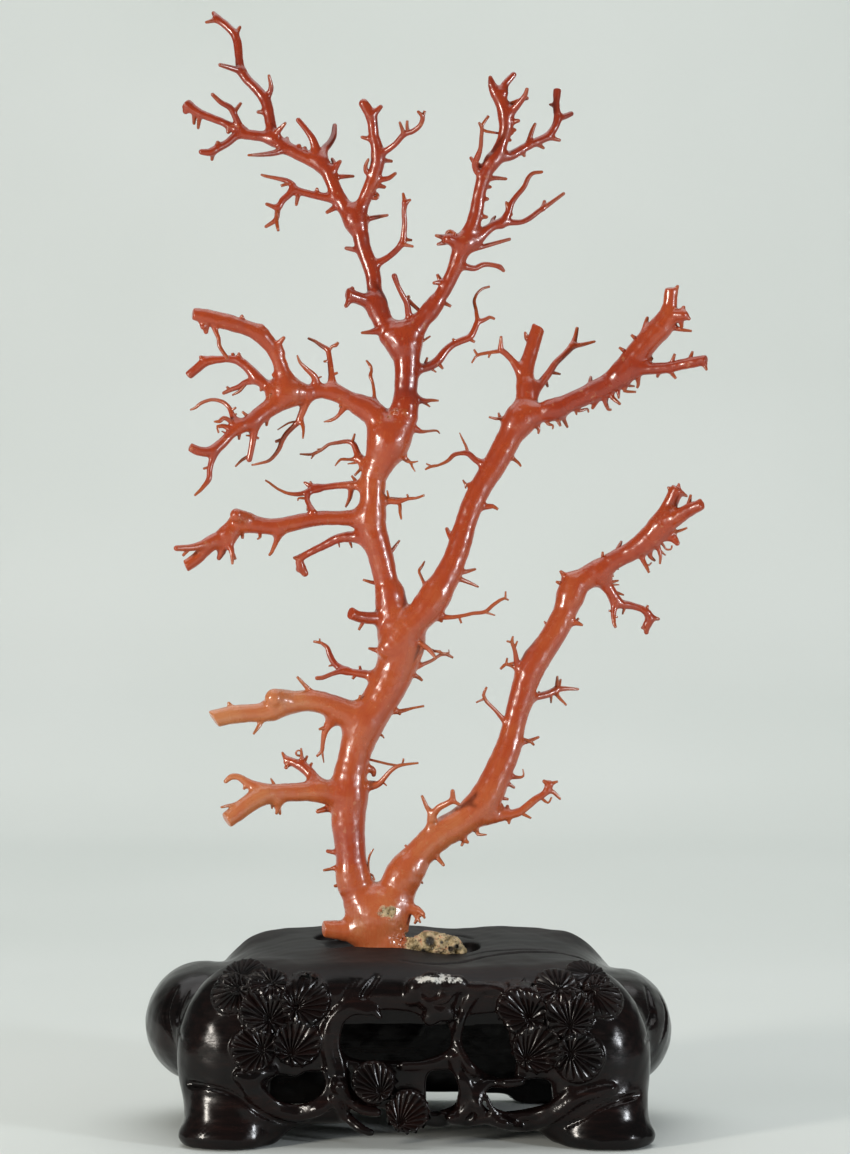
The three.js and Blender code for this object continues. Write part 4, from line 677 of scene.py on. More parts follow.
limb("right_stem_upper", "stem upper", "stem top", 0, [
    54.5, 182.6, 3.35, 57, 184, 3.55, 61, 187, 3.25, 65, 189.1, 3, 69.5, 191.6, 3.45, 74, 195.1, 4.1,
    77.4, 198.8, 3.9, 79.2, 203, 2.9, 80.8, 206.5, 2.45, 83.4, 211.6, 2.3], cut=-10)
limb("right_stem_upper", "stem upper fork", "stem upper", -8, [
    77.5, 198.8, 3.3, 81.5, 201, 2.8, 85, 203.1, 2.4, 88.5, 205, 2.1, 91.6, 206.2, 1.7], cut=0)
grow("stem upper", [82.2, 209.8, 1, 80.1, 211.8, 0.5], [84, 210.2, 1, 86.2, 209, 0.5],
    [83.4, 211, 0.9, 83.6, 212.9, 0.5],
     [79.9, 197.4, 0.9, 83, 197.2, 0.6, 86.4, 198.4, 0.35], [78.8, 195.8, 1.6, 81.6, 195, 1.5, 83.1,
         193.3, 0.9],
     [77, 194.4, 0.8, 78.5, 192.5, 0.45, 79.5, 191.2, 0.4, 81, 191.3, 0.35, 81.3, 192.5, 0.3],
     [76.2, 192.4, 1.1, 77, 191, 0.8, 77.5, 189, 0.65, 77.3, 186.3, 0.35],
         [77.3, 191, 0.5, 79.2, 189.2, 0.25],
     [73.8, 191.6, 1.1, 74, 189, 0.8, 75.7, 187.4, 0.4], [71.2, 189.8, 1.1, 71.5, 188, 0.9, 72.5, 186,
         0.75, 73.7, 183.4, 0.45],
     [73, 186, 0.4, 74.5, 186.8, 0.25], [63, 190.3, 1, 64.5, 193.9, 0.45],
         [58.4, 187.2, 0.9, 58.2, 190.3, 0.4],
     [60.8, 185.4, 0.9, 62.5, 185, 0.5, 63.5, 184.6, 0.3], [60.8, 184.6, 0.8, 61.7, 182, 0.3])
grow("stem upper fork", [89.8, 205.9, 1, 90.6, 207.6, 0.5], [86.8, 205.2, 1, 87.6, 209.5, 0.4])
limb("right_stem_drooping", "drooping stem", "stem upper", 14, [
    57.5, 183.5, 3.2, 58.6, 181.4, 2.6, 59.6, 179, 2.1, 61, 177, 1.9, 62.4, 174.6, 1.9, 64, 173.1, 1.7,
    66.2, 172.7, 1.4,
    69, 172.1, 1.15, 71.5, 171.3, 1.15, 73.2, 169.8, 1.4, 73.9, 168, 1.6, 73.1, 166, 1.45, 72.8, 163.6,
    0.8])
limb("right_stem_drooping", "drooping spur", "drooping stem", 8, [
    62.4, 174, 1.5, 62, 171.5, 1.1, 61.8, 169, 0.85, 62, 166.7, 0.7, 62.6, 165.1, 0.45])
grow("drooping stem", [74, 168.2, 1.2, 75.3, 168.3, 0.9, 76.8, 168, 0.6], [73, 166, 1, 71.5, 165.1, 0.6],
     [72.6, 170.6, 0.9, 73.3, 172.6, 0.4], [65.7, 172.2, 0.7, 64.8, 169.5, 0.3],
         [60.4, 180.2, 0.8, 63.4, 180.8, 0.35],
     [60.8, 179.4, 0.5, 63.7, 179.4, 0.2], [62.2, 177, 0.7, 65.2, 176, 0.35])
grow("drooping spur", [61.9, 170.5, 0.6, 60.2, 170.8, 0.35], [61.9, 169, 0.6, 63.2, 168.6, 0.35])
print(len(limbs), "limbs and", len(twigs), "small twigs in",
      len({v["piece"] for v in limbs.values()}), "pieces")

# %% [markdown]
# ## From limbs to one skin
# Limbs could be swept tubes joined with booleans, but a boolean leaves a sharp line where two
# tubes meet, and living coral flows from one limb into the next. So each limb is written into a
# lattice of points as a distance: below zero inside it, above zero outside. Two distances are
# run together with a smooth minimum, and that is the fillet at every fork. Where the distance
# crosses zero there is the surface, and one vertex in each lattice cell there makes the skin.

# %% A lattice of distances
FAR = 6.0  # mm, the distance written where nothing is near


class Lattice:
    """Evenly spaced points in mm, each with its distance to the surface and its owner."""

    def __init__(self, low, high, step):
        self.low = np.array(low, float)
        self.step = step
        self.shape = np.ceil((np.array(high) - self.low) / step).astype(int) + 1
        self.field = np.full(self.shape, FAR, np.float32)
        self.owner = np.zeros(self.shape, np.uint8)

    def block(self, low, high):
        """Slices of the lattice between two corners, and the coordinates along each axis."""
        a = np.clip(np.floor((low - self.low) / self.step).astype(int), 0, self.shape - 2)
        b = np.clip(np.ceil((high - self.low) / self.step).astype(int) + 1, a + 2, self.shape)
        axes = [self.low[n] + self.step * np.arange(a[n], b[n], dtype=np.float32) for n in range(3)]
        grid = (axes[0][:, None, None], axes[1][None, :, None], axes[2][None, None, :])
        return tuple(slice(i, j) for i, j in zip(a, b)), [g.astype(np.float32) for g in grid]


def smooth_min(a, b, k):
    h = np.maximum(k - np.abs(a - b), 0) / k
    return np.minimum(a, b) - h * h * (k * 0.25)


def smooth_max(a, b, k):
    return -smooth_min(-a, -b, k)


def ripple(x, y, z, length):
    """A soft uneven wave between about -1 and 1, for hand-made and grown surfaces."""
    w = 2 * math.pi / length
    a = np.sin(w * (0.93 * x + 0.21 * y - 0.31 * z) + 1.3 * np.sin(w * (0.37 * z + 0.29 * y)))
    b = np.sin(w * (-0.27 * x + 0.88 * y + 0.42 * z) + 1.7 * np.sin(w * (0.41 * x - 0.23 * z) + 2))
    c = np.sin(w * (0.35 * x - 0.32 * y + 0.86 * z) + 1.1 * np.sin(w * (0.33 * y + 0.47 * x) + 4))
    return (a + b + c) / 2.2


# %% Limbs as rounded chains
def between(p0, p1, p2, p3, s):
    """A point at the share s of the way from p1 to p2, on a curve through all four."""
    return 0.5 * (2 * p1 + (p2 - p0) * s + (2 * p0 - 5 * p1 + 4 * p2 - p3) * s ** 2
                  + (3 * p1 - p0 - 3 * p2 + p3) * s ** 3)


def run_smooth(path):
    """A finer row of x, y, z, radius along a limb, on a curve that passes through its points."""
    known = [np.array([*slide(x, z, y), r]) for x, z, r, y in path]
    known = [2 * known[0] - known[1]] + known + [2 * known[-1] - known[-2]]
    row = []
    for i in range(1, len(known) - 2):
        p0, p1, p2, p3 = known[i - 1:i + 3]
        length = np.linalg.norm(p2[:3] - p1[:3])
        parts = int(np.clip(round(length / max(0.8 * p1[3], 0.7)), 1, 4))
        for s in np.arange(parts) / parts:
            curve = between(p0, p1, p2, p3, s)
            curve[3] = p1[3] + (p2[3] - p1[3]) * s
            row.append(curve)
    row.append(known[-2])
    return np.array(row)


def distance_to_chain(row, low, grid, start, step):
    """Distance to a row of tapering round segments, worked out only where each one is near."""
    shape = [g.size for g in grid]
    d = np.full(shape, FAR, np.float32)
    for p, q in zip(row, row[1:]):
        reach = max(p[3], q[3]) + low
        a = np.floor((np.minimum(p[:3], q[:3]) - reach - start) / step).astype(int)
        b = np.ceil((np.maximum(p[:3], q[:3]) + reach - start) / step).astype(int) + 1
        a, b = np.clip(a, 0, shape), np.clip(b, 0, shape)
        if (b <= a).any():
            continue
        part = tuple(slice(i, j) for i, j in zip(a, b))
        x, y, z = (grid[0][part[0]] - p[0], grid[1][:, part[1]] - p[1], grid[2][:, :, part[2]] - p[2])
        v = (q[:3] - p[:3]).astype(np.float32)
        t = np.clip((x * v[0] + y * v[1] + z * v[2]) / max(float(v @ v), 1e-9), 0, 1)
        near = np.sqrt((x - t * v[0]) ** 2 + (y - t * v[1]) ** 2 + (z - t * v[2]) ** 2)
        near -= np.float32(p[3]) + t * np.float32(q[3] - p[3])
        d[part] = np.minimum(d[part], near)
    return d


def write_limb(lattice, code, path, blend=None, cut=None):
    """Runs one limb into the lattice, and gives the slices that it touched."""
    row = run_smooth(path)
    root = row[0][3]
    k = blend if blend else float(np.clip(0.85 * root, 0.6, 3))
    tip, direction = row[-1], row[-1][:3] - row[-2][:3]
    direction = direction / np.linalg.norm(direction)
    if cut is not None:
        row = np.vstack([row, [*(tip[:3] + direction * tip[3] * 1.3), tip[3]]])
    margin = k + 1.0
    widest = row[:, 3].max() + margin
    part, grid = lattice.block(row[:, :3].min(0) - widest, row[:, :3].max(0) + widest)
    start = lattice.low + lattice.step * np.array([s.start for s in part])
    d = distance_to_chain(row, margin, grid, start, lattice.step)
    if cut is not None:
        turn = math.radians(cut)
        face = np.array([direction[0] * math.cos(turn) - direction[2] * math.sin(turn), direction[1],
                         direction[0] * math.sin(turn) + direction[2] * math.cos(turn)])
        half = 2.6 * tip[3]
        a = np.clip(np.floor((tip[:3] - half - start) / lattice.step).astype(int), 0, d.shape)
        b = np.clip(np.ceil((tip[:3] + half - start) / lattice.step).astype(int), 0, d.shape)
        box = tuple(slice(i, j) for i, j in zip(a, b))
        plane = ((grid[0][box[0]] - tip[0]) * face[0] + (grid[1][:, box[1]] - tip[1]) * face[1]
                 + (grid[2][:, :, box[2]] - tip[2]) * face[2]).astype(np.float32)
        d[box] = smooth_max(d[box], plane, 0.6)
    body = row[:, 3].mean()
    if body > 1.4:
        i, j, l = np.nonzero(np.abs(d) < 1.6)
        x, y, z = grid[0][i, 0, 0], grid[1][0, j, 0], grid[2][0, 0, l]
        d[i, j, l] += 0.035 * body * ripple(x, y, z, 2.6 * body + 3) + 0.05 * ripple(x, z, y, 3.1)
    before = lattice.field[part]
    lattice.owner[part][d < before] = code
    lattice.field[part] = smooth_min(before, d, k)
    return part


# %% One vertex in each cell
CORNERS = np.array([[i, j, k] for i in (0, 1) for j in (0, 1) for k in (0, 1)])
EDGES = [(a, b) for a in range(8) for b in range(a) if np.abs(CORNERS[a] - CORNERS[b]).sum() == 1]
AROUND = ((-1, -1), (0, -1), (0, 0), (-1, 0))


def skin(lattice, part, code):
    """Closed skin of one owner's share: points in mm, four-sided faces and normals.

    Neighbouring owners share the vertices on the outer surface, so no seam shows between them."""
    start = np.array([s.start for s in part])
    field, owner = lattice.field[part], lattice.owner[part]
    mine = (field < 0) & (owner == code)
    quads = []
    for axis in range(3):
        ahead = tuple(slice(1, None) if n == axis else slice(None) for n in range(3))
        behind = tuple(slice(0, -1) if n == axis else slice(None) for n in range(3))
        at = np.argwhere(mine[ahead] ^ mine[behind])
        ring = []
        for b, c in AROUND:
            cell = at.copy()
            cell[:, (axis + 1) % 3] += b
            cell[:, (axis + 2) % 3] += c
            ring.append(np.ravel_multi_index(cell.T, mine.shape))
        ring = np.stack(ring, axis=1)
        turned = ~mine[tuple(at.T)]
        ring[turned] = ring[turned][:, ::-1]
        quads.append(ring)
    cells, faces = np.unique(np.concatenate(quads), return_inverse=True)
    faces = faces.reshape(-1, 4)
    place = np.stack(np.unravel_index(cells, mine.shape), axis=1)
    corner = tuple((place[:, None, :] + CORNERS[None]).transpose(2, 0, 1))
    value, who = field[corner].astype(float), owner[corner]
    total, count = np.zeros((len(cells), 3)), np.zeros(len(cells))
    for outer in (True, False):
        open_cells = count == 0
        for a, b in EDGES:
            fa, fb = value[:, a], value[:, b]
            if outer:
                crossing = (fa < 0) != (fb < 0)
                t = fa / np.where(crossing, fa - fb, 1)
            else:
                crossing = (who[:, a] != who[:, b]) & open_cells
                t = np.full(len(cells), 0.5)
            spot = CORNERS[a] + t[:, None] * (CORNERS[b] - CORNERS[a])
            total += np.where(crossing[:, None], spot, 0)
            count += crossing
    points = lattice.low + lattice.step * (start + place + total / np.maximum(count, 1)[:, None])
    normals = np.stack([value[:, CORNERS[:, n] == 1].mean(1) - value[:, CORNERS[:, n] == 0].mean(1)
                        for n in range(3)], axis=1)
    normals /= np.maximum(np.linalg.norm(normals, axis=1), 1e-9)[:, None]
    return points, faces, normals

# %% [markdown]
# ## Growing the coral
# Every limb is written in the order in which it grew: the trunk before what stands on it. A
# third of a millimetre between lattice points is fine enough for limbs down to one millimetre
# thick. What is thinner, the last end of a twig and the smallest spurs, is kept as a line for
# the next step.

# %% Write the limbs into the lattice
CORAL_STEP = 0.35
THINNEST = 0.5  # mm, the smallest radius that the lattice still shows well
coral = Lattice((-90, -27, 48), (97, 31, 377), CORAL_STEP)
pieces = list(dict.fromkeys(v["piece"] for v in limbs.values()))
touched = {name: [] for name in pieces}
lines = {name: [] for name in pieces}
segments = {name: [] for name in pieces}


def stop_at_thin(path):
    """The thick start of a limb, and the thin end that follows it."""
    thick = 0
    while thick < len(path) and path[thick][2] >= THINNEST:
        thick += 1
    if thick < 2 or max(p[2] for p in path) < 0.8:
        return [], path
    if thick == len(path):
        return path, []
    a, b = path[thick - 2], path[thick - 1]
    hidden = (a[0], a[1], b[2] * 0.7, a[3])
    return path[:thick], [hidden, (b[0], b[1], b[2] * 0.97, b[3])] + path[thick:]


for grown in list(limbs.values()) + twigs:
    piece = grown["piece"]
    thick, thin = stop_at_thin(grown["path"])
    segments[piece].append(run_smooth(grown["path"]))
    if thick:
        part = write_limb(coral, pieces.index(piece) + 1, thick, grown.get("blend"),
                          grown.get("cut") if not thin else None)
        touched[piece].append(part)
    if thin:
        lines[piece].append(thin)
print("coral lattice", coral.field.shape, "with", sum(map(len, touched.values())), "limbs,",
      sum(map(len, lines.values())), "thin ends left as lines")


# %% Pits and crust on the foot
def hollow(lattice, x, z, y, radius, k=0.3):
    """A round pit taken out of the surface."""
    centre = slide(x, z, y)
    part, grid = lattice.block(centre - radius - 1.5, centre + radius + 1.5)
    d = np.sqrt(sum((g - c) ** 2 for g, c in zip(grid, centre))) - radius
    lattice.field[part] = smooth_max(lattice.field[part], -d, k)


CRUST_LOW, CRUST_HIGH = slide(-14, 53, -16), slide(15, 66, 4)
part, grid = coral.block(CRUST_LOW, CRUST_HIGH)
crusted = coral.field[part]
i, j, k = np.nonzero(np.abs(crusted) < 1.8)
x, y, z = grid[0][i, 0, 0], grid[1][0, j, 0], grid[2][0, 0, k]
fade = np.clip((x + 13) / 4, 0, 1) * np.clip((66 - z) / 3, 0, 1)
lumps = 0.45 * ripple(x, y, z, 4.2) + 0.3 * ripple(y, z, x, 2) + 0.16 * ripple(z, x, y, 1.2)
crusted[i, j, k] += fade * lumps
coral.field[part] = crusted
for x, z, y, r in [
    (0.7, 60.8, -11.2, 1.6), (-1.6, 57, -11, 0.8), (4.5, 60, -12.2, 0.6), (7.5, 57.9, -11.5, 0.9),
    (9.5, 58.8, -10.8, 0.7), (-4.6, 60.3, -11.8, 0.7), (-5.6, 62, -9.5, 1), (-8.6, 64.9, -7, 1.3),
    (-13.4, 70.3, -10.4, 2.6), (-11.7, 71.1, -8.6, 1.2), (-15.2, 69.6, -9.4, 1.2), (-10.6, 68.4, -9.2, 0.9),
    (-27.2, 69.8, -1, 1.1), (3, 58, -12.4, 0.6), (-7.8, 58.4, -8.4, 0.7),
]:
    hollow(coral, x, z, y, r)
print("crust roughened at", len(fade), "lattice points, and pitted")

# %% [markdown]
# ## Thin ends and thorns
# The thinnest growth is a few tenths of a millimetre thick. A tree of Geometry Nodes follows
# each line with a round section that shrinks to the tip: a curve that passes through the points,
# a small seeded unevenness so that no twig is drawn with a ruler, and the section swept along
# it. The tree is built once and used for the twigs of every piece.

# %% A helper that adds a node
def add(tree, kind, settings=None, into=None, **links):
    """Adds one node: its settings, then its inputs by name or number, each a value or a socket.

    The stops of a colour ramp are a setting too, each a position and a hex colour.
    The node's first output that is in use goes into the socket given."""
    node = tree.nodes.new(kind)
    for key, value in (settings or {}).items():
        if key != "stops":
            setattr(node, key, value)
            continue
        for _ in value[2:]:
            node.color_ramp.elements.new(0.5)
        for element, (position, colour) in zip(node.color_ramp.elements, value):
            element.position = position
            element.color = linear(colour)
    for key, value in links.items():
        found = [s for s in node.inputs if s.name.lower() == key.replace("_", " ") and s.enabled]
        socket = found[0] if found else node.inputs[int(key[1:])]
        if isinstance(value, bpy.types.NodeSocket):
            tree.links.new(value, socket)
        else:
            socket.default_value = value
    if into:
        tree.links.new(next(s for s in node.outputs if s.enabled), into)
    return node


def new_tree(name, inputs):
    """An empty Geometry Nodes tree with named inputs, each a kind and a default."""
    tree = bpy.data.node_groups.new(name, "GeometryNodeTree")
    tree.interface.new_socket("Geometry", in_out="INPUT", socket_type="NodeSocketGeometry")
    for label, (kind, default) in inputs.items():
        socket = tree.interface.new_socket(label, in_out="INPUT", socket_type=kind)
        if default is not None:
            socket.default_value = default
    tree.interface.new_socket("Geometry", in_out="OUTPUT", socket_type="NodeSocketGeometry")
    return tree


def run_tree(tree, mesh, name, values):
    """Evaluates the tree on a mesh and gives a plain mesh back."""
    carrier = put(name, mesh)
    modifier = carrier.modifiers.new(tree.name, "NODES")
    modifier.node_group = tree
    known = {s.name: s.identifier for s in tree.interface.items_tree if s.in_out == "INPUT"}
    for label, value in values.items():
        modifier[known[label]] = value
    graph = bpy.context.evaluated_depsgraph_get()
    made = bpy.data.meshes.new_from_object(carrier.evaluated_get(graph))
    bpy.data.objects.remove(carrier)
    return made


# %% The tree for thin twigs
twig_tree = new_tree("thin twig", {
    "Sides": ("NodeSocketInt", 7),
    "Steps": ("NodeSocketInt", 3),
    "Unevenness": ("NodeSocketFloat", 0.00012),
    "Seed": ("NodeSocketInt", 3),
    "Material": ("NodeSocketMaterial", None),
})
given = add(twig_tree, "NodeGroupInput").outputs
line = add(twig_tree, "GeometryNodeMeshToCurve", mesh=given["Geometry"])
line = add(twig_tree, "GeometryNodeCurveSplineType", {"spline_type": "CATMULL_ROM"}, curve=line.outputs[0])
line = add(twig_tree, "GeometryNodeSetSplineResolution", geometry=line.outputs[0],
    resolution=given["Steps"])
thickness = add(twig_tree, "GeometryNodeInputNamedAttribute", {"data_type": "FLOAT"}, name="thickness")
line = add(twig_tree, "GeometryNodeSetCurveRadius", curve=line.outputs[0], radius=thickness.outputs[0])
ring = add(twig_tree, "GeometryNodeCurvePrimitiveCircle", resolution=given["Sides"], radius=1.0)
tube = add(twig_tree, "GeometryNodeCurveToMesh", curve=line.outputs[0], profile_curve=ring.outputs[0],
           scale=thickness.outputs[0], fill_caps=True)
wobble = add(twig_tree, "ShaderNodeTexNoise", {"noise_dimensions": "4D"}, scale=900.0, detail=1.0,
             w=given["Seed"])
centred = add(twig_tree, "ShaderNodeVectorMath", {"operation": "SUBTRACT"}, i0=wobble.outputs["Color"],
              i1=(0.5, 0.5, 0.5))
push = add(twig_tree, "ShaderNodeVectorMath", {"operation": "SCALE"}, i0=centred.outputs[0],
           scale=given["Unevenness"])
tube = add(twig_tree, "GeometryNodeSetPosition", geometry=tube.outputs[0], offset=push.outputs[0])
tube = add(twig_tree, "GeometryNodeSetShadeSmooth", geometry=tube.outputs[0])
tube = add(twig_tree, "GeometryNodeRealizeInstances", geometry=tube.outputs[0])
tube = add(twig_tree, "GeometryNodeSetMaterial", geometry=tube.outputs[0], material=given["Material"])
add(twig_tree, "NodeGroupOutput", geometry=tube.outputs[0])
print("thin twig tree:", len(twig_tree.nodes), "nodes")


def read_mesh(mesh):
    """Points in mm, faces as a corner count and corner list, and vertex normals."""
    points = np.empty(len(mesh.vertices) * 3, np.float32)
    mesh.vertices.foreach_get("co", points)
    corners = np.empty(len(mesh.loops), np.int32)
    mesh.loops.foreach_get("vertex_index", corners)
    counts = np.empty(len(mesh.polygons), np.int32)
    mesh.polygons.foreach_get("loop_total", counts)
    normals = np.empty(len(mesh.vertices) * 3, np.float32)
    mesh.vertices.foreach_get("normal", normals)
    return points.reshape(-1, 3) * 1000, counts, corners, normals.reshape(-1, 3)


def thin_twigs(piece):
    """The swept thin twigs of one piece, as arrays."""
    rows = [np.array([[*slide(x, z, y), r] for x, z, r, y in path]) for path in lines[piece]]
    points = np.concatenate(rows)
    edges, first = [], 0
    for row in rows:
        edges += [(first + n, first + n + 1) for n in range(len(row) - 1)]
        first += len(row)
    mesh = bpy.data.meshes.new(piece + "_lines")
    mesh.from_pydata((points[:, :3] / 1000).tolist(), edges, [])
    mesh.attributes.new("thickness", "FLOAT", "POINT").data.foreach_set("value", points[:, 3] / 1000)
    made = run_tree(twig_tree, mesh, piece + "_lines", {"Sides": 7, "Steps": 3,
        "Seed": pieces.index(piece)})
    return read_mesh(made)

# %% [markdown]
# ## What the material needs to know
# Each vertex learns three things from the nearest limb: how thick the limb is there, because
# thin growth is browner, how far along and round the limb it lies, because coral has fine lines
# that run along its limbs, and how deep its red is. The depth of red changes slowly over the
# real piece: pale pink low on the left, salmon on the trunk, orange-red in the crown.

# %% Thickness, grain and tone
TONES = [  # x, z, tone from 0 pale to 1 deep, reach in mm
    (-17, 66, 0.22, 9), (-26, 78, 0.4, 7), (-26, 92, 0.62, 4.6), (-26, 104, 0.5, 8), (-26, 120, 0.42, 12),
    (-45, 110, 0.2, 12), (-63, 105, 0.12, 8), (-42, 120, 0.7, 5), (-50, 139, 0.1, 14), (-70, 135, 0, 6),
    (-24, 137, 0.3, 8), (-16, 143, 0.45, 10), (-8, 162, 0.4, 10), (-30, 152, 0.75, 7), (-14, 185, 0.55, 12),
    (-18, 210, 0.45, 12), (-14, 228, 0.5, 8), (-24, 169, 0.7, 5), (-34, 192, 0.85, 8), (-40, 200, 0.5, 14),
    (-68, 196, 0.5, 12), (-38, 211, 0.8, 5), (-32, 225, 0.8, 5), (-25, 242, 0.55, 9), (-45, 244, 0.5, 9),
    (-60, 265, 0.55, 14), (-66, 253, 0.75, 8), (-57, 235, 0.6, 9), (-72, 224, 0.65, 8), (-8, 248, 0.9, 10),
    (-8, 262, 0.75, 6), (-18, 280, 0.85, 12), (-24, 301, 0.8, 8), (-38, 320, 0.75, 14),
    (-60, 330, 0.85, 12),
    (-62, 355, 0.85, 14), (-18, 325, 0.8, 14), (6, 280, 0.75, 12), (13, 296, 0.75, 9), (19, 316, 0.75, 12),
    (26, 335, 0.85, 10), (40, 330, 0.85, 10), (30, 303, 0.85, 8), (4, 178, 0.5, 12), (12, 200, 0.62, 12),
    (22, 218, 0.55, 10), (31, 235, 0.6, 8), (34, 255, 0.6, 12), (48, 240, 0.85, 9), (62, 248, 0.85, 8),
    (76, 264, 0.6, 9), (81, 276, 0.5, 6), (82, 252, 0.8, 10), (-8, 84, 0.32, 7), (5, 97, 0.22, 9),
    (18, 107, 0.35, 9),
    (25, 121, 0.5, 10), (31, 141, 0.55, 12), (37, 156, 0.5, 9), (46, 172, 0.5, 10), (58, 185, 0.6, 9),
    (74, 196, 0.62, 10), (68, 172, 0.7, 9), (12, 222, 0.85, 7), (3, 59, 0.3, 7),
]


def tone_at(x, z):
    """Tone from the marks above, each counting less with distance."""
    total, weight = np.zeros(len(x)), np.full(len(x), 1e-9)
    for mx, mz, tone, reach in TONES:
        w = np.exp(-((x - mx) ** 2 + (z - mz) ** 2) / (2 * (0.75 * reach) ** 2)) / reach + 1e-9
        total += w * tone
        weight += w
    return total / weight


def describe(piece, points):
    """Radius of the limb at each point, and the point's place across and along it in mm."""
    best = np.full(len(points), np.inf)
    girth, grain = np.zeros(len(points)), np.zeros((len(points), 3))
    for row in segments[piece]:
        start = 0.0
        for p, q in zip(row, row[1:]):
            v = q[:3] - p[:3]
            length = np.linalg.norm(v)
            if length < 1e-6:
                continue
            near = np.nonzero(((points > np.minimum(p[:3], q[:3]) - 12)
                               & (points < np.maximum(p[:3], q[:3]) + 12)).all(1))[0]
            w = points[near] - p[:3]
            t = np.clip(w @ v / length ** 2, 0, 1)
            side = w - t[:, None] * v
            radius = p[3] + t * (q[3] - p[3])
            gap = np.linalg.norm(side, axis=1) - radius
            closer = gap < best[near]
            hit = near[closer]
            best[hit] = gap[closer]
            girth[hit] = radius[closer]
            flat = side[closer]
            across = np.array([v[2], 0, -v[0]]) / max(math.hypot(v[0], v[2]), 1e-6)
            grain[hit] = np.stack([flat @ across, flat[:, 1], start + t[closer] * length], axis=1)
            start += length
    return girth, grain


def make_mesh(name, points, counts, corners, normals, marks):
    """A Blender mesh from arrays: points in mm, faces, smooth normals and named marks."""
    mesh = bpy.data.meshes.new(name)
    mesh.vertices.add(len(points))
    mesh.vertices.foreach_set("co", (points / 1000).astype(np.float32).ravel())
    mesh.loops.add(len(corners))
    mesh.loops.foreach_set("vertex_index", corners.astype(np.int32))
    mesh.polygons.add(len(counts))
    mesh.polygons.foreach_set("loop_start", (np.cumsum(counts) - counts).astype(np.int32))
    mesh.polygons.foreach_set("use_smooth", np.ones(len(counts), bool))
    mesh.update(calc_edges=True)
    for label, values in marks.items():
        kind, field = ("FLOAT_VECTOR", "vector") if values.ndim == 2 else ("FLOAT", "value")
        mesh.attributes.new(label, kind, "POINT").data.foreach_set(field, values.astype(np.float32).ravel())
    mesh.normals_split_custom_set_from_vertices(normals.tolist())
    return mesh


# %% Make the coral's pieces
# Places of the pits cut above whose shade is painted: each one raises the crust mark above 1, and the finish
# paints it near black as painted shade.
PAINTED_HOLE_SHADE = [  # x, z, size
    (0.7, 60.8, 1.7), (-1.6, 57.2, 1), (4.6, 60.2, 0.6), (7.6, 58, 1.1), (9.6, 58.9, 0.8),
    (-11.5, 71.2, 0.6)]
coral_objects = []
for code, piece in enumerate(pieces, start=1):
    low = np.min([[s.start for s in p] for p in touched[piece]], axis=0)
    high = np.max([[s.stop for s in p] for p in touched[piece]], axis=0)
    part = tuple(slice(a, b) for a, b in zip(low, high))
    points, faces, normals = skin(coral, part, code)
    counts, corners = np.full(len(faces), 4), faces.ravel()
    if lines[piece]:
        more, more_counts, more_corners, more_normals = thin_twigs(piece)
        corners = np.concatenate([corners, more_corners + len(points)])
        counts = np.concatenate([counts, more_counts])
        points = np.concatenate([points, more])
        normals = np.concatenate([normals, more_normals])
    girth, grain = describe(piece, points)
    depth_scale = 1 + points[:, 1] / EYE_DISTANCE
    plane_x = EYE_X + (points[:, 0] - EYE_X) / depth_scale
    plane_z = EYE_HEIGHT + (points[:, 2] - EYE_HEIGHT) / depth_scale
    if piece == "foot":
        grain = points * (1, 1, 0.5)
    crust = np.clip((plane_x + 9.5) / 4, 0, 1) * np.clip((65 - plane_z) / 2, 0, 1)
    old_wound = np.exp(-((plane_x + 13.2) / 4) ** 2 - ((plane_z - 70.4) / 2.6) ** 2) * (points[:, 1] < -3)
    crust = np.maximum(crust, 0.85 * old_wound)
    # Painted shade in the holes: the crust mark is raised above 1 at each pit, where the finish turns the
    # colour near black.
    for hole_x, hole_z, size in PAINTED_HOLE_SHADE:
        crust += (crust > 0.3) * np.exp(-((plane_x - hole_x) / size) ** 2 - ((plane_z - hole_z) / size) ** 2)
    marks = {"girth": girth, "grain": grain, "tone": tone_at(plane_x, plane_z), "crust": crust}
    mesh = make_mesh(piece, points, counts, corners, normals, marks)
    obj = put(piece + "_coral", mesh)
    coral_objects.append((obj, piece))
    print(f"{piece:24s} {int((counts - 2).sum()):7d} triangles")
print("coral:", sum(len(o.data.polygons) for o, _ in coral_objects), "faces")

# %% [markdown]
# ## The stand
# A carver starts from a block, rounds its masses, undercuts the hollow below, pierces the apron
# and only then cuts the relief. The field of the stand is made in that order too: smooth sums
# of rounded masses, then cuts, then ridges laid along drawn lines on the front face and grooves
# cut along others. Every line is drawn on the same upright plane as the coral and then pushed
# back along its sight line until it meets the wood.

# %% The rounded masses and the hollow
STAND_STEP = 0.7
STAND_X = -4.5
STAND_TOP = 60.5
APRON_BOTTOM = 6
stand = Lattice((-98, -58, -4.2), (98, 58, 69), STAND_STEP)
everywhere, (gx, gy, gz) = stand.block(stand.low, stand.low + STAND_STEP * stand.shape)


def ball(centre, radii, grid=(gx, gy, gz)):
    """Distance to a rounded mass with a centre and three radii."""
    q = np.sqrt(sum(((g - c) / r) ** 2 for g, c, r in zip(grid, centre, radii)))
    return ((q - 1) * min(radii)).astype(np.float32)


def cushion(centre, half, corner, edge):
    """A block with its upright corners and its level edges rounded, each to its own radius."""
    dx, dy, dz = [np.abs(g - c) - h for g, c, h in zip((gx, gy, gz), centre, half)]
    plan = np.hypot(np.maximum(dx + corner, 0), np.maximum(dy + corner, 0)) - corner
    plan = plan + np.minimum(np.maximum(dx, dy) + corner, 0)
    u, v = plan + edge, dz + edge + 0 * plan
    return np.hypot(np.maximum(u, 0), np.maximum(v, 0)) + np.minimum(np.maximum(u, v), 0) - edge


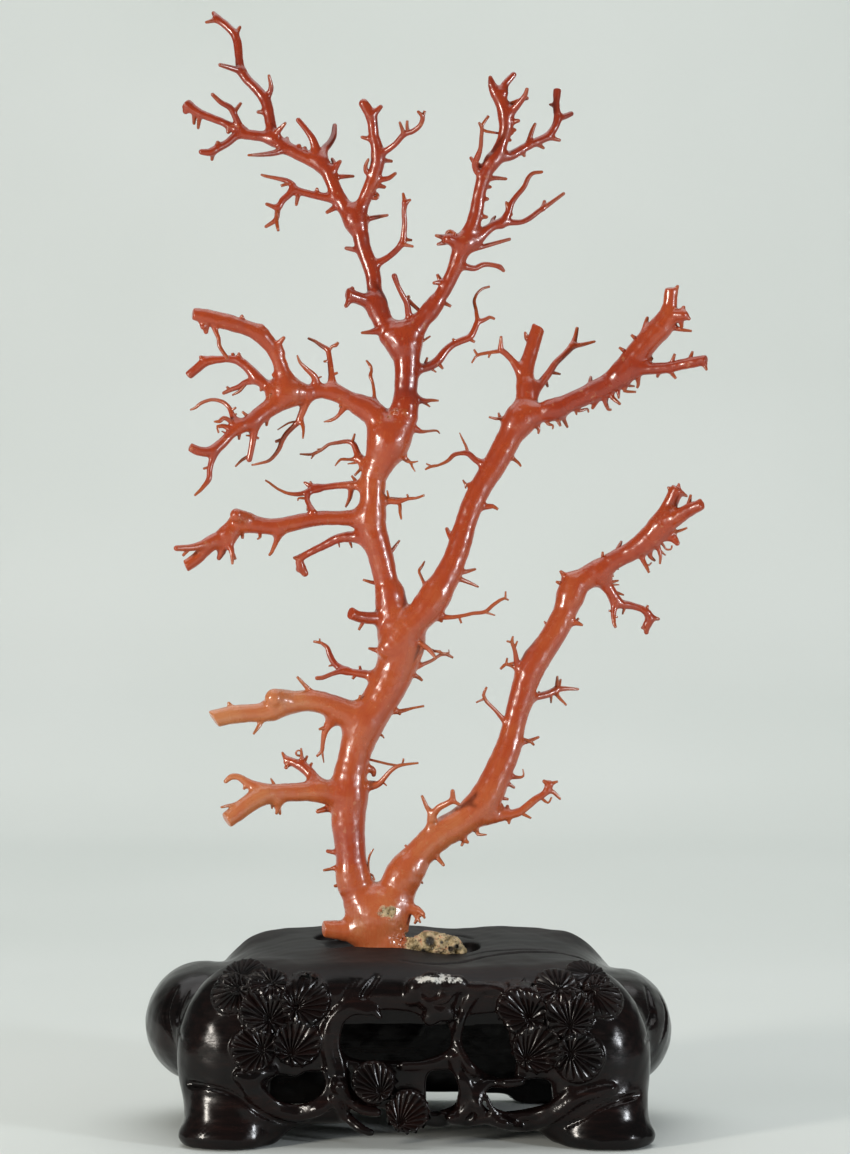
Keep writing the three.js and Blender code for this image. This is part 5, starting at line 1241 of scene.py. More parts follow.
MASSES = [  # centre and radii: shoulders, side lobes, rear shoulders, front feet, rear feet
    [(-59.6, -29.5, 27), (21.6, 18, 30)], [(50.6, -29.5, 25), (21.4, 18, 30)],
    [(-75, 7, 33), (19.6, 28, 20)], [(63.5, 7, 31), (18, 28, 19.5)],
    [(-57, 32, 28), (17, 16, 28)], [(48, 32, 28), (17, 16, 28)],
    [(-64.6, -38, 4), (12.5, 11, 13)], [(57.6, -38, 4), (12.5, 11, 13)],
    [(-58, 38, 5), (12, 11, 13)], [(48, 38, 5), (12, 11, 13)],
]
top = STAND_TOP - 0.0012 * np.maximum(0, 10 - gy) ** 2 + 0.05 * np.maximum(0, gy)
top = top - 2.2 * np.exp(-((gx - 9) / 13) ** 2 - ((gy + 4) / 60) ** 2) - 7 * ((gx - STAND_X) / 62) ** 4
bottom = APRON_BOTTOM - 0.27 * np.maximum(0, gy)
half_height = (top - bottom) / 2
body = cushion((STAND_X, 0, bottom + half_height), (64.5, 45, half_height), 24, 11)
for centre, radii in MASSES:
    body = smooth_min(body, ball(centre, radii), 8)
# the flare of each foot
for x, y in ((-64.6, -39.5), (57.8, -39.5), (-58, 40), (48, 40)):
    body = smooth_min(body, ball((x, y, 3.2), (14.6, 10.5, 5)), 3)
# the panel of the apron lies a little back from the shoulders
panel = cushion((STAND_X - 0.5, -56, 20), (45, 12.4, 26), 5, 5)
body = smooth_max(body, -panel, 6)
hollow_below = cushion((STAND_X, 0, 0), (57.5, 35.5, 48), 16, 14)
body = smooth_max(body, -hollow_below, 2)
arch = ((np.sqrt(((gy - 3) / 21) ** 2 + (gz / 10) ** 2) - 1) * 10 + 0 * gx).astype(np.float32)
body = smooth_max(body, -arch, 2.5)
body = smooth_max(body, -gz + 0 * body, 1.2)
stand.field[:] = body
print("stand lattice", stand.field.shape)


# %% Drawing on the front face
def sample(lattice, point):
    """Distance at a place between lattice points."""
    at = (np.asarray(point) - lattice.low) / lattice.step
    base = np.clip(np.floor(at).astype(int), 0, lattice.shape - 2)
    f = at - base
    corner = lattice.field[tuple(slice(b, b + 2) for b in base)]
    along = corner[0] * (1 - f[0]) + corner[1] * f[0]
    along = along[0] * (1 - f[1]) + along[1] * f[1]
    return float(along[0] * (1 - f[2]) + along[1] * f[2])


def on_front(x, z, first=-55.0, last=30.0):
    """Where the sight line through x, z on the plane y = 0 first meets the wood."""
    y = first
    while y < last:
        if sample(stand, slide(x, z, y)) < 0:
            return slide(x, z, y)
        y += 0.2
    return None


def facing(point):
    """Direction out of the surface at a place."""
    step = 1.4
    g = np.array([sample(stand, point + step * e) - sample(stand, point - step * e) for e in np.eye(3)])
    return g / np.linalg.norm(g)


FACE_Y = -44.0  # mm, the carved face where a line crosses an opening
PIERCED_TOP, PIERCED_HALF = 48, 57  # mm, no opening lies higher or farther from the middle


def drawn(line, out):
    """A drawn line of x, z, radius on the front face, out mm proud of it."""
    row = []
    for x, z, r in points_of(line):
        spot = on_front(x, z)
        over_opening = z < PIERCED_TOP and abs(x) < PIERCED_HALF
        if spot is None or (spot[1] > FACE_Y + 6 and over_opening):
            spot = slide(x, z, FACE_Y)
        else:
            spot = spot + facing(spot) * out
        row.append([*spot, r])
    return np.array(row)


def finer(row):
    """The same row with points between, on a smooth curve."""
    known = np.vstack([2 * row[0] - row[1], row, 2 * row[-1] - row[-2]])
    made = []
    for p0, p1, p2, p3 in zip(known, known[1:], known[2:], known[3:]):
        made += [between(p0, p1, p2, p3, s) for s in (0, 0.25, 0.5, 0.75)]
    return np.array(made + [row[-1]])


def along(row, margin=3.0):
    row = finer(row)
    widest = row[:, 3].max() + margin
    part, grid = stand.block(row[:, :3].min(0) - widest, row[:, :3].max(0) + widest)
    start = stand.low + stand.step * np.array([s.start for s in part])
    return part, distance_to_chain(row, margin, grid, start, stand.step)


def ridge(line, out=0.2, blend=1.0):
    part, d = along(drawn(line, out))
    stand.field[part] = smooth_min(stand.field[part], d, blend)


def groove(line, out=0.3, blend=0.6):
    part, d = along(drawn(line, out))
    stand.field[part] = smooth_max(stand.field[part], -d, blend)


# %% Piercing the apron
PIERCED = [  # x, z, half width, half height, lean in degrees, on the front face in true mm
    (-15, 35.4, 13.5, 8.2, 0), (-1, 34, 8.5, 6.4, 20), (-8, 32, 14, 4.8, 0),
    (18.2, 33, 8, 9.4, 8), (22, 25.6, 6, 5, 0),
    (-42.5, 17, 9.3, 5.4, -8), (-36, 19.5, 5, 4.6, 0),
    (28.5, 16, 11.2, 4.9, 8), (20, 13.8, 4, 3.4, 0),
    (4.5, 17.5, 5.2, 7, 0), (-19.5, 9.5, 6, 3, 0),
]
PIERCED_BACK = [(STAND_X, 0, 34, 4, 0)]


def pierce(x, z, half_x, half_z, lean, y):
    c, s = math.cos(math.radians(lean)), math.sin(math.radians(lean))
    part, (px, py, pz) = stand.block(np.array([x - half_x - 3, y - 12, z - half_z - 3]),
                                     np.array([x + half_x + 3, y + 12, z + half_z + 3]))
    u, v = (px - x) * c + (pz - z) * s, -(px - x) * s + (pz - z) * c
    d = (np.sqrt(np.sqrt((u / half_x) ** 4 + (v / half_z) ** 4)) - 1) * min(half_x, half_z) + 0 * py
    stand.field[part] = smooth_max(stand.field[part], -d.astype(np.float32), 1.6)


for hole in PIERCED:
    pierce(*hole, -48)
for hole in PIERCED_BACK:
    pierce(*hole, 48)
print(len(PIERCED) + len(PIERCED_BACK), "openings pierced")

# %% The branches of the carved pine
BRANCHES = [
    # the hook that curls round the large opening, and its root
    [-16.2, 35.4, 1, -18.5, 37.6, 1.5, -22.5, 39, 1.8, -27, 38.6, 2, -31.4, 35, 2.2, -33.2, 30, 2.3,
     -33, 24, 2.3, -31.6, 19, 2.4, -29.6, 15, 2.4, -29.6, 11.5, 2.2],
    [-20, 36.8, 0.8, -24, 37.2, 0.9, -28.2, 35.2, 1, -30.2, 31, 1, -30.6, 26, 1, -29.2, 20, 1, -28.4,
        16.5, 0.9],
    # the loop under the left fans
    [-62, 14.8, 1.6, -58.5, 10.2, 2, -53.3, 6, 2.2, -48, 3.5, 2.2, -42.5, 3, 2.2, -36.5, 4.8, 2.3, -32,
        8.5, 2.3,
     -29.6, 13, 2.3],
    [-56.5, 11.6, 0.9, -51, 6.9, 0.9, -45, 5.2, 0.9, -39.5, 6, 0.9, -35, 9.2, 0.9, -33.4, 13.5, 0.9,
        -34.5, 17, 0.8],
    [-63, 15.5, 1.8, -59, 14.6, 2.4, -55.6, 16.5, 2, -52, 17, 1.5],
    # the stem that falls from the knob to the low ring
    [17.5, 44.5, 1.5, 14.5, 42, 1.6, 12.3, 38, 1.5, 10.6, 33, 1.5, 9.6, 28, 1.5, 8.2, 23.5, 1.6, 4, 20.8,
        1.6,
     -2, 19.4, 1.4, -8, 19.2, 1.1],
    [10.3, 25.5, 1.2, 11.8, 22, 1.5, 14.5, 18, 1.7, 17, 15.5, 1.9, 21, 13.8, 1.8, 26, 13.3, 1.6, 31, 13.8,
        1.3],
    # the ring round the low middle opening
    [8.5, 22, 1.4, 9.8, 18, 1.5, 13, 13.5, 1.7, 14.6, 9, 1.8, 13, 4.6, 1.8, 9, 1.8, 1.7, 4, 0.4, 1.6, -1,
        0.8, 1.5,
     -6, 2.4, 1.4],
    [10.6, 14.5, 0.8, 11.6, 9.5, 0.8, 9.6, 5.4, 0.8, 5, 3.2, 0.8],
    # the ring round the low right opening
    [20.4, 13.6, 1.2, 16.8, 10, 1.6, 16.6, 5.6, 1.7, 20, 2, 1.9, 25.5, -0.2, 2, 32, -0.6, 2, 38.5, 1, 2.1,
     44.5, 4.4, 2.1, 49.5, 8, 2, 55, 10.4, 1.8, 61, 11.6, 1.2],
    [19.6, 8.4, 0.8, 21.6, 4.6, 0.8, 27, 2.4, 0.8, 33, 2.2, 0.8, 39, 4, 0.8, 44, 7.4, 0.8, 47.5, 10.4, 0.7],
    # cords that tie the apron together at its foot
    [-29.4, 12, 1.9, -26, 7.4, 1.8, -21.5, 4.4, 1.6, -17, 3.4, 1.5],
    [-31, 8, 1.6, -27.5, 2.6, 1.5, -22.5, -1.8, 1.4, -19, -3.2, 1.2],
    [8, 1.6, 1.5, 13, 0.4, 1.4, 18, 1.2, 1.4, 21.5, 2, 1.4],
    [28, 45.4, 1.7, 33, 43.6, 1.8, 38, 41.6, 1.6],
    [26.5, 43, 1.3, 22.5, 44.8, 1.6, 17, 45.4, 1.7, 11, 45, 1.8, 6, 46.6, 1.6],
]
for line in BRANCHES:
    ridge(line, out=0.15, blend=1.7)

KNOB = [  # x, z, radius, out: the lobed knob in the middle of the front
    (-3.5, 44.6, 3.6, 1), (1.5, 46.6, 3.8, 1.2), (6.8, 45.6, 3.5, 1.2), (5.4, 41.8, 3.6, 1.2),
    (0.6, 41, 3.6, 1.4),
    (3, 37, 3.2, 1), (6.4, 36.4, 2.4, 0.6), (0.6, 34.6, 2.4, 0.6), (-5.6, 41.6, 2.2, 0.4),
    (10.4, 46.4, 2.6, 0.8),
]
for x, z, r, out in KNOB:
    centre = slide(x, z, FACE_Y - 1) + np.array([0, 1.9 - out, 0])
    part, grid = stand.block(centre - r - 3, centre + r + 3)
    d = np.sqrt(sum(((g - c) / s) ** 2 for g, c, s in zip(grid, centre, (1, 0.85, 1)))) - r
    stand.field[part] = smooth_min(stand.field[part], d, 1.8)
for line in (
    [-2.2, 43.6, 0.5, 0.2, 41.6, 0.6, 2.4, 42.4, 0.6, 3.2, 44.4, 0.5, 2, 45.6, 0.4],
    [2, 39.4, 0.5, 4, 38.8, 0.6, 6.4, 39.6, 0.6, 8.6, 42, 0.5],
    [-4, 47.2, 0.5, 0, 49, 0.6, 6, 49.2, 0.6, 10, 48.2, 0.5],
):
    groove(line, out=0.1)
print(len(BRANCHES), "carved branches and a knob of", len(KNOB), "lobes")

# %% Grooves and creases
GROOVES = [
    # the fold that runs along the front of the top
    [-9, 54.4, 0.5, -4, 53.6, 0.9, 0, 53.2, 1.1, 6, 53.1, 1.2, 12, 53.8, 1.2, 18, 55.1, 1.1, 25, 56.5,
        1.1, 34, 57.1, 1.1,
     43, 56.8, 1.1, 48, 55.8, 1, 52.5, 54.4, 0.7],
    [12, 55.4, 0.4, 18, 56.8, 0.7, 25, 57.6, 0.8, 33, 57.8, 0.7, 40, 57.6, 0.4],
    # leaf cuts at the left of the middle
    [-17.2, 48.4, 1.3, -19.4, 45.4, 1.6, -21.4, 42.4, 1.3], [-25, 47.4, 0.6, -27, 44.4, 0.7, -29.4, 40.8,
        0.5],
    [-22.6, 47.6, 0.4, -24.8, 44.4, 0.5, -26.6, 41.6, 0.4],
    # the creases above the feet
    [-85.5, 13.8, 0.9, -80, 13.2, 1, -75, 12.6, 1, -70, 11.5, 1, -65, 9.6, 1, -60.5, 6.6, 1, -56, 3.4, 1,
        -50, 0.6, 0.9,
     -44, -0.6, 0.7],
    [76, 9.8, 0.9, 70, 9.2, 1, 64, 7.6, 1, 58, 5.2, 1, 52, 1.8, 0.9, 46, -1, 0.8],
    # cuts beside the coral's foot
    [7.5, 62.6, 0.8, 11, 62.4, 1.1, 14.6, 61.4, 0.8],
]
for line in GROOVES:
    groove(line)
LENS_CUTS = [  # the leaf-shaped cuts on the side lobes
    [-83.4, 45.5, 0.3, -86.6, 40, 1.3, -87.2, 34, 1.5, -84.6, 27.6, 0.4],
    [-79.6, 44.5, 0.3, -82.4, 39, 0.9, -83, 33.5, 0.9, -81.8, 28, 0.3],
    [72.2, 46, 0.3, 74.2, 40, 1.3, 74.2, 33.5, 1.3, 72.4, 27, 0.4],
    [76.8, 43, 0.3, 79.2, 37.5, 1, 79, 31, 1, 77, 26.5, 0.3],
]
for cut in LENS_CUTS:
    groove(cut, out=0.4)


# the seat: a shallow oval recess that the coral's foot fills nearly
def dish(x, z, y, radii, k=0.5):
    centre = slide(x, z, y)
    part, grid = stand.block(centre - max(radii) - 2, centre + max(radii) + 2)
    stand.field[part] = smooth_max(stand.field[part], -ball(centre, radii, grid), k)


dish(-14, 60.5, 0, (21, 10, 5))
dish(3, 59.6, -4, (12.5, 8.5, 4.5))
dish(-34, 62.3, 12, (4, 7, 4))
dish(-30.5, 59.4, -5, (3.5, 5, 4))
dish(13, 58.8, 1, (4.4, 10, 5))
print(len(GROOVES), "grooves,", len(LENS_CUTS), "lens cuts and the seat")

# %% [markdown]
# ## The pine fans
# The carver shows pine needles as round fans: a dozen or more flutes that widen from a hub to a
# scalloped rim. A fan is a rule, so Geometry Nodes make it: a ring of rim points round each fan,
# one flute from the hub to each, and then every point of every flute dropped on to the wood along
# the fan's own facing, so that the fan bends round the shoulder as the real carving does.

# %% Pads under the fans
FANS = [  # x, z, radius, hub x, hub z, on the plane y = 0
    (-61.4, 49.3, 7.4, -61.6, 46), (-65.6, 43.2, 6.9, -62, 43), (-53.5, 46.4, 6.2, -51.4, 45),
    (-54.6, 37.6, 8, -52.9, 34.2), (-40.8, 40.9, 7.9, -44.1, 38.6), (-58.4, 24.8, 7.2, -55, 24.2),
    (-43.7, 27, 7.7, -45.8, 22.8), (52.8, 49.5, 6.9, 52.9, 46.4), (42.6, 45.6, 6.8, 43, 42.7),
    (58.2, 42, 7.2, 53.4, 43), (31, 38.5, 8, 34, 34.8), (47.2, 36.8, 8, 47.2, 31.9),
    (36.6, 25.3, 8, 32.6, 21.2),
    (50.4, 21.9, 8, 47.4, 23.4), (-18.2, 13.8, 6.9, -15.4, 10), (-6.8, 4.2, 6.9, -9.4, -0.4),
]
BACK_FANS = [  # the same on the back, x, z and radius as seen from behind
    (-53, 43, 7.5), (-40, 36, 7.5), (-52, 28, 7), (44, 43, 7.5), (31, 36, 7.5), (43, 28, 7), (-5, 38, 8),
    (8, 34, 6.5), (-18, 33, 6.5),
]


PAD_RISE, FLAT_PAD_HALF = 0.9, 1.2  # mm that a pad stands proud, and half of a free one's thickness
MIDDLE = 28  # mm, pads nearer the middle than this hang over the openings
PAD_DEPTH = 6  # mm below its middle where a pad ends


def on_back(x, z):
    """Where a straight line from behind meets the wood, in true mm."""
    y = 56.0
    while y > 20:
        if sample(stand, (x, y, z)) < 0:
            return np.array([x, y, z])
        y -= 0.2
    return np.array([x, 44.0, z])


fans = []
for x, z, r, hub_x, hub_z in FANS:
    spot = on_front(x, z)
    if abs(x) < 30:  # the two over the openings have no wood of their own to lie on
        spot = slide(x, z, FACE_Y - 1.5)
        out = np.array([0.12 * np.sign(x), -1, 0.08])
    else:
        out = facing(spot)
    out /= np.linalg.norm(out)
    offset = slide(hub_x, hub_z, spot[1]) - slide(x, z, spot[1])
    offset -= out * (offset @ out)
    fans.append((spot, out, r, offset))
for x, z, r in BACK_FANS:
    spot = on_back(x, z)
    out = facing(spot)
    offset = np.array([0.12 * x / 10, 0, -0.35 * r])
    fans.append((spot, out, r, offset - out * (offset @ out)))
for spot, out, r, offset in fans:
    part, grid = stand.block(spot - r - 4, spot + r + 4)
    rel = [g - c for g, c in zip(grid, spot)]
    high = rel[0] * out[0] + rel[1] * out[1] + rel[2] * out[2]
    wide = np.sqrt(np.maximum(rel[0] ** 2 + rel[1] ** 2 + rel[2] ** 2 - high ** 2, 0))
    if spot[1] < 0 and abs(spot[0]) < MIDDLE:
        pad = np.abs(high) - FLAT_PAD_HALF
    else:
        pad = np.maximum(stand.field[part] - PAD_RISE, -high - PAD_DEPTH)  # follows the wood there
    d = np.maximum(wide - r, pad).astype(np.float32)
    stand.field[part] = smooth_min(stand.field[part], d, 0.5)
print(len(fans), "fans laid out")

# %% One flute
FLUTE_STATIONS = [  # along, half width, height
    (0.04, 0.05, 0.3), (0.3, 0.18, 0.8), (0.6, 0.34, 1), (0.85, 0.46, 1), (0.94, 0.47, 0.75),
    (0.99, 0.42, 0.3),
]
FLUTE_SECTION = [(-1, -0.9), (-1, 0), (-0.4, 0.2), (-0.1, 0.9), (0.1, 0.9), (0.4, 0.2), (1, 0), (1, -0.9)]


def flute_mesh():
    """A flute one unit long and one wide, a few dozen faces, closed at both ends."""
    points, faces = [], []
    n = len(FLUTE_SECTION)
    for along_it, half, height in FLUTE_STATIONS:
        points += [(along_it, u * half, v * height) for u, v in FLUTE_SECTION]
    for s in range(len(FLUTE_STATIONS) - 1):
        a, b = s * n, (s + 1) * n
        faces += [(a + i, b + i, b + (i + 1) % n, a + (i + 1) % n) for i in range(n)]
    faces.append(tuple(range(n)))
    faces.append(tuple(range((len(FLUTE_STATIONS) - 1) * n, len(FLUTE_STATIONS) * n))[::-1])
    mesh = bpy.data.meshes.new("flute")
    mesh.from_pydata(points, [], faces)
    bm = bmesh.new()
    bm.from_mesh(mesh)
    bmesh.ops.recalc_face_normals(bm, faces=bm.faces)
    bm.to_mesh(mesh)
    bm.free()
    return mesh


# %% The stand's skin, in three pieces
stand.owner[:] = 2
cut_left = int((-30 - stand.low[0]) / STAND_STEP)
cut_right = int((22 - stand.low[0]) / STAND_STEP)
stand.owner[:cut_left] = 1
stand.owner[cut_right:] = 3
i, j, k = np.nonzero(np.abs(stand.field) < 1.5)
x, y, z = gx[i, 0, 0], gy[0, j, 0], gz[0, 0, k]
stand.field[i, j, k] += 0.1 * ripple(x, y, z, 13) + 0.05 * ripple(z, x, y, 6)
residue = np.exp(-(((x - 1.2) / 7) ** 2 + ((y + 46.5) / 4) ** 2 + ((z - 54) / 1.6) ** 2))
stand.field[i, j, k] -= 0.5 * residue * np.clip(ripple(x, z, y, 3.4) + 0.4, 0, 1)
stand_objects = []
for code, name in enumerate(("stand_left", "stand_middle", "stand_right"), start=1):
    points, faces, normals = skin(stand, tuple(slice(0, n) for n in stand.shape), code)
    mesh = make_mesh(name, points, np.full(len(faces), 4), faces.ravel(), normals, {})
    obj = put(name, mesh)
    stand_objects.append(obj)
    print(name, 2 * len(faces), "triangles")

# %% The tree for the fans
target = put("wood_under_fans", bpy.data.meshes.new("wood_under_fans"))
joined = [skin(stand, everywhere, code)[:2] for code in (1, 2, 3)]
wood_points = np.concatenate([p for p, _ in joined])
shift = np.cumsum([0] + [len(p) for p, _ in joined])
wood_faces = np.concatenate([f + s for (_, f), s in zip(joined, shift)])
target.data = make_mesh("wood_under_fans", wood_points, np.full(len(wood_faces), 4), wood_faces.ravel(),
                        np.zeros((len(wood_points), 3)) + (0, 0, 1), {})
flute = put("flute", flute_mesh())

fan_tree = new_tree("pine fan", {
    "Flutes": ("NodeSocketInt", 16),
    "Relief": ("NodeSocketFloat", 0.0008),
    "Reach": ("NodeSocketFloat", 0.006),
    "Flute": ("NodeSocketObject", None),
    "Wood": ("NodeSocketObject", None),
    "Material": ("NodeSocketMaterial", None),
})
given = add(fan_tree, "NodeGroupInput").outputs
KNOWN, VECTOR = "GeometryNodeInputNamedAttribute", "ShaderNodeVectorMath"
facing_out = add(fan_tree, KNOWN, {"data_type": "FLOAT_VECTOR"}, name="facing").outputs[0]
hub_place = add(fan_tree, KNOWN, {"data_type": "FLOAT_VECTOR"}, name="hub").outputs[0]
to_rim = add(fan_tree, KNOWN, {"data_type": "FLOAT_VECTOR"}, name="reach").outputs[0]
spread = add(fan_tree, KNOWN, {"data_type": "FLOAT"}, name="spread").outputs[0]
here = add(fan_tree, "GeometryNodeInputPosition").outputs[0]
REALIZE, MOVE = "GeometryNodeRealizeInstances", "GeometryNodeSetPosition"
PLACE = "GeometryNodeInstanceOnPoints"

# a ring of rim points round each fan, each gathered at the hub with its way to the rim
rim = add(fan_tree, "GeometryNodeMeshCircle", vertices=given["Flutes"], radius=1.0)
level = add(fan_tree, "FunctionNodeAlignRotationToVector", {"axis": "Z"}, vector=facing_out)
rims = add(fan_tree, PLACE, points=given["Geometry"], instance=rim.outputs[0], rotation=level.outputs[0],
           scale=spread)
rims = add(fan_tree, REALIZE, geometry=rims.outputs[0])
way = add(fan_tree, VECTOR, {"operation": "SUBTRACT"}, i0=here, i1=hub_place)
rims = add(fan_tree, "GeometryNodeStoreNamedAttribute", {"data_type": "FLOAT_VECTOR", "domain": "POINT"},
           geometry=rims.outputs[0], name="reach", value=way.outputs[0])
rims = add(fan_tree, MOVE, geometry=rims.outputs[0], position=hub_place)

# one flute on each, as long as the way and as wide as its share of the rim
aimed = add(fan_tree, "FunctionNodeAlignRotationToVector", {"axis": "X", "pivot_axis": "Z"},
            rotation=level.outputs[0], vector=to_rim)
length = add(fan_tree, VECTOR, {"operation": "LENGTH"}, i0=to_rim)
share = add(fan_tree, "ShaderNodeMath", {"operation": "DIVIDE"}, i0=6.6, i1=given["Flutes"])
width = add(fan_tree, "ShaderNodeMath", {"operation": "MULTIPLY"}, i0=share.outputs[0], i1=spread)
size = add(fan_tree, "ShaderNodeCombineXYZ", x=length.outputs["Value"], y=width.outputs[0],
    z=given["Relief"])
shape = add(fan_tree, "GeometryNodeObjectInfo", object=given["Flute"])
flutes = add(fan_tree, PLACE, points=rims.outputs[0], instance=shape.outputs["Geometry"],
             rotation=aimed.outputs[0], scale=size.outputs[0])
flutes = add(fan_tree, REALIZE, geometry=flutes.outputs[0])

# every point is dropped on to the wood along the fan's facing, and keeps its own height
above = add(fan_tree, VECTOR, {"operation": "SUBTRACT"}, i0=here, i1=hub_place)
height = add(fan_tree, VECTOR, {"operation": "DOT_PRODUCT"}, i0=above.outputs[0], i1=facing_out)
lift = add(fan_tree, VECTOR, {"operation": "SCALE"}, i0=facing_out, scale=height.outputs["Value"])
flat = add(fan_tree, VECTOR, {"operation": "SUBTRACT"}, i0=here, i1=lift.outputs[0])
away = add(fan_tree, VECTOR, {"operation": "SCALE"}, i0=facing_out, scale=given["Reach"])
source = add(fan_tree, VECTOR, {"operation": "ADD"}, i0=flat.outputs[0], i1=away.outputs[0])
down = add(fan_tree, VECTOR, {"operation": "SCALE"}, i0=facing_out, scale=-1.0)
twice = add(fan_tree, "ShaderNodeMath", {"operation": "MULTIPLY"}, i0=given["Reach"], i1=2.0)
wood = add(fan_tree, "GeometryNodeObjectInfo", object=given["Wood"])
ray = add(fan_tree, "GeometryNodeRaycast", target_geometry=wood.outputs["Geometry"],
          source_position=source.outputs[0], ray_direction=down.outputs[0], ray_length=twice.outputs[0])
landed = add(fan_tree, VECTOR, {"operation": "ADD"}, i0=ray.outputs["Hit Position"], i1=lift.outputs[0])
flutes = add(fan_tree, MOVE, geometry=flutes.outputs[0], selection=ray.outputs["Is Hit"],
             position=landed.outputs[0])
flutes = add(fan_tree, "GeometryNodeSetShadeSmooth", geometry=flutes.outputs[0])
flutes = add(fan_tree, "GeometryNodeSetMaterial", geometry=flutes.outputs[0], material=given["Material"])
add(fan_tree, "NodeGroupOutput", geometry=flutes.outputs[0])
print("fan tree:", len(fan_tree.nodes), "nodes")


def carve_fans(name, chosen):
    """The flutes of the chosen fans as one plain object."""
    mesh = bpy.data.meshes.new(name + "_places")
    mesh.from_pydata([tuple(spot / 1000) for spot, *_ in chosen], [], [])
    for label, values in (("facing", [out for _, out, _, _ in chosen]),
                          ("hub", [(spot + offset) / 1000 for spot, _, _, offset in chosen])):
        flat = np.array(values, np.float32).ravel()
        mesh.attributes.new(label, "FLOAT_VECTOR", "POINT").data.foreach_set("vector", flat)
    spread = np.array([r for _, _, r, _ in chosen], np.float32) / 1000
    mesh.attributes.new("spread", "FLOAT", "POINT").data.foreach_set("value", spread)
    made = run_tree(fan_tree, mesh, name + "_places", {"Flute": flute, "Wood": target})
    made.name = name
    for label in ("facing", "hub", "spread", "reach"):
        if label in made.attributes:
            made.attributes.remove(made.attributes[label])
    obj = put(name, made)
    print(name, len(made.polygons), "faces")
    return obj


front_fans = carve_fans("pine_fans_front", fans[:len(FANS)])
back_fans = carve_fans("pine_fans_back", fans[len(FANS):])
stand_objects += [front_fans, back_fans]
bpy.data.objects.remove(target)
bpy.data.objects.remove(flute)

# %% [markdown]
# ## Finishes
# Colours are written as they look on a screen and turned linear by one function. Patterns read
# Object coordinates in metres, or the marks that the coral's vertices carry.

# %% Colour and node helpers
def linear(hex_colour):
    """An sRGB hex colour as linear red, green, blue and alpha."""
    out = []
    for i in (1, 3, 5):
        v = int(hex_colour[i:i + 2], 16) / 255
        out.append(v / 12.92 if v <= 0.04045 else ((v + 0.055) / 1.055) ** 2.4)
    return (*out, 1.0)


def finish(name):
    """A new material with only its shader and output."""
    material = bpy.data.materials.new(name)
    material.use_nodes = True
    tree = material.node_tree
    tree.nodes.clear()
    shader = add(tree, "ShaderNodeBsdfPrincipled")
    add(tree, "ShaderNodeOutputMaterial", surface=shader.outputs[0])
    return material, tree, shader


# %% [markdown]
# Precious coral is a hard chalk skeleton. It is ground and polished until it shines like
# porcelain, so it has a tight glossy reflection over a body colour that goes from pale salmon
# to deep orange-red, clouded in patches of several millimetres and faintly lined along each
# limb. The thinnest ends miss the polish and stay tan. The foot still has its rough natural
# crust: cream and olive and pitted, with painted shade in its pits and near-black painted
# shade in its deepest holes.

# %% Polished coral
coral_finish, tree, shader = finish("polished_precious_coral")
MATH, MIX, RANGE = "ShaderNodeMath", "ShaderNodeMix", "ShaderNodeMapRange"
RAMP = "ShaderNodeValToRGB"
COLOUR_MIX = {"data_type": "RGBA"}
MULTIPLY_ADD = {"operation": "MULTIPLY_ADD"}
tone = add(tree, "ShaderNodeAttribute", {"attribute_name": "tone"}).outputs["Fac"]
girth = add(tree, "ShaderNodeAttribute", {"attribute_name": "girth"}).outputs["Fac"]
grain = add(tree, "ShaderNodeAttribute", {"attribute_name": "grain"}).outputs["Vector"]
crust_and_hole_shade_mark = add(tree, "ShaderNodeAttribute", {"attribute_name": "crust"}).outputs["Fac"]
place = add(tree, "ShaderNodeTexCoord").outputs["Object"]
clouds = add(tree, "ShaderNodeTexNoise", vector=place, scale=110.0, detail=3.0, roughness=0.55)  # 9 mm
flecks = add(tree, "ShaderNodeTexNoise", vector=place, scale=520.0, detail=2.0, roughness=0.6)  # 2 mm
stretched = add(tree, "ShaderNodeMapping", vector=grain, scale=(1.6, 1.6, 0.09))  # lines 0.6 mm apart
lining = add(tree, "ShaderNodeTexNoise", vector=stretched.outputs[0], scale=1.0, detail=3.0, roughness=0.6)

cloudy = add(tree, MATH, MULTIPLY_ADD, i0=clouds.outputs["Fac"], i1=0.55, i2=-0.275)
deep = add(tree, MATH, {"operation": "ADD"}, i0=tone, i1=cloudy.outputs[0])
lined = add(tree, MATH, MULTIPLY_ADD, i0=lining.outputs["Fac"], i1=0.3, i2=-0.15)
deep = add(tree, MATH, {"operation": "ADD", "use_clamp": True}, i0=deep.outputs[0], i1=lined.outputs[0])
CORAL_RED = [(0.0, "#b8754b"), (0.28, "#ae5730"), (0.55, "#a03e1b"), (0.8, "#902f13"), (1.0, "#7b240d")]
red = add(tree, RAMP, {"stops": CORAL_RED}, fac=deep.outputs[0]).outputs[0]
thin = add(tree, RANGE, value=girth, i1=0.95, i2=0.25, i3=0.0, i4=0.75)
red = add(tree, MIX, COLOUR_MIX, i0=thin.outputs[0], i6=red, i7=linear("#9a5420")).outputs[2]
speck = add(tree, RANGE, value=flecks.outputs["Fac"], i1=0.64, i2=0.74, i3=0.0, i4=0.35)
red = add(tree, MIX, COLOUR_MIX, i0=speck.outputs[0], i6=red, i7=linear("#c08a64")).outputs[2]
print("body colour done:", len(tree.nodes), "nodes")
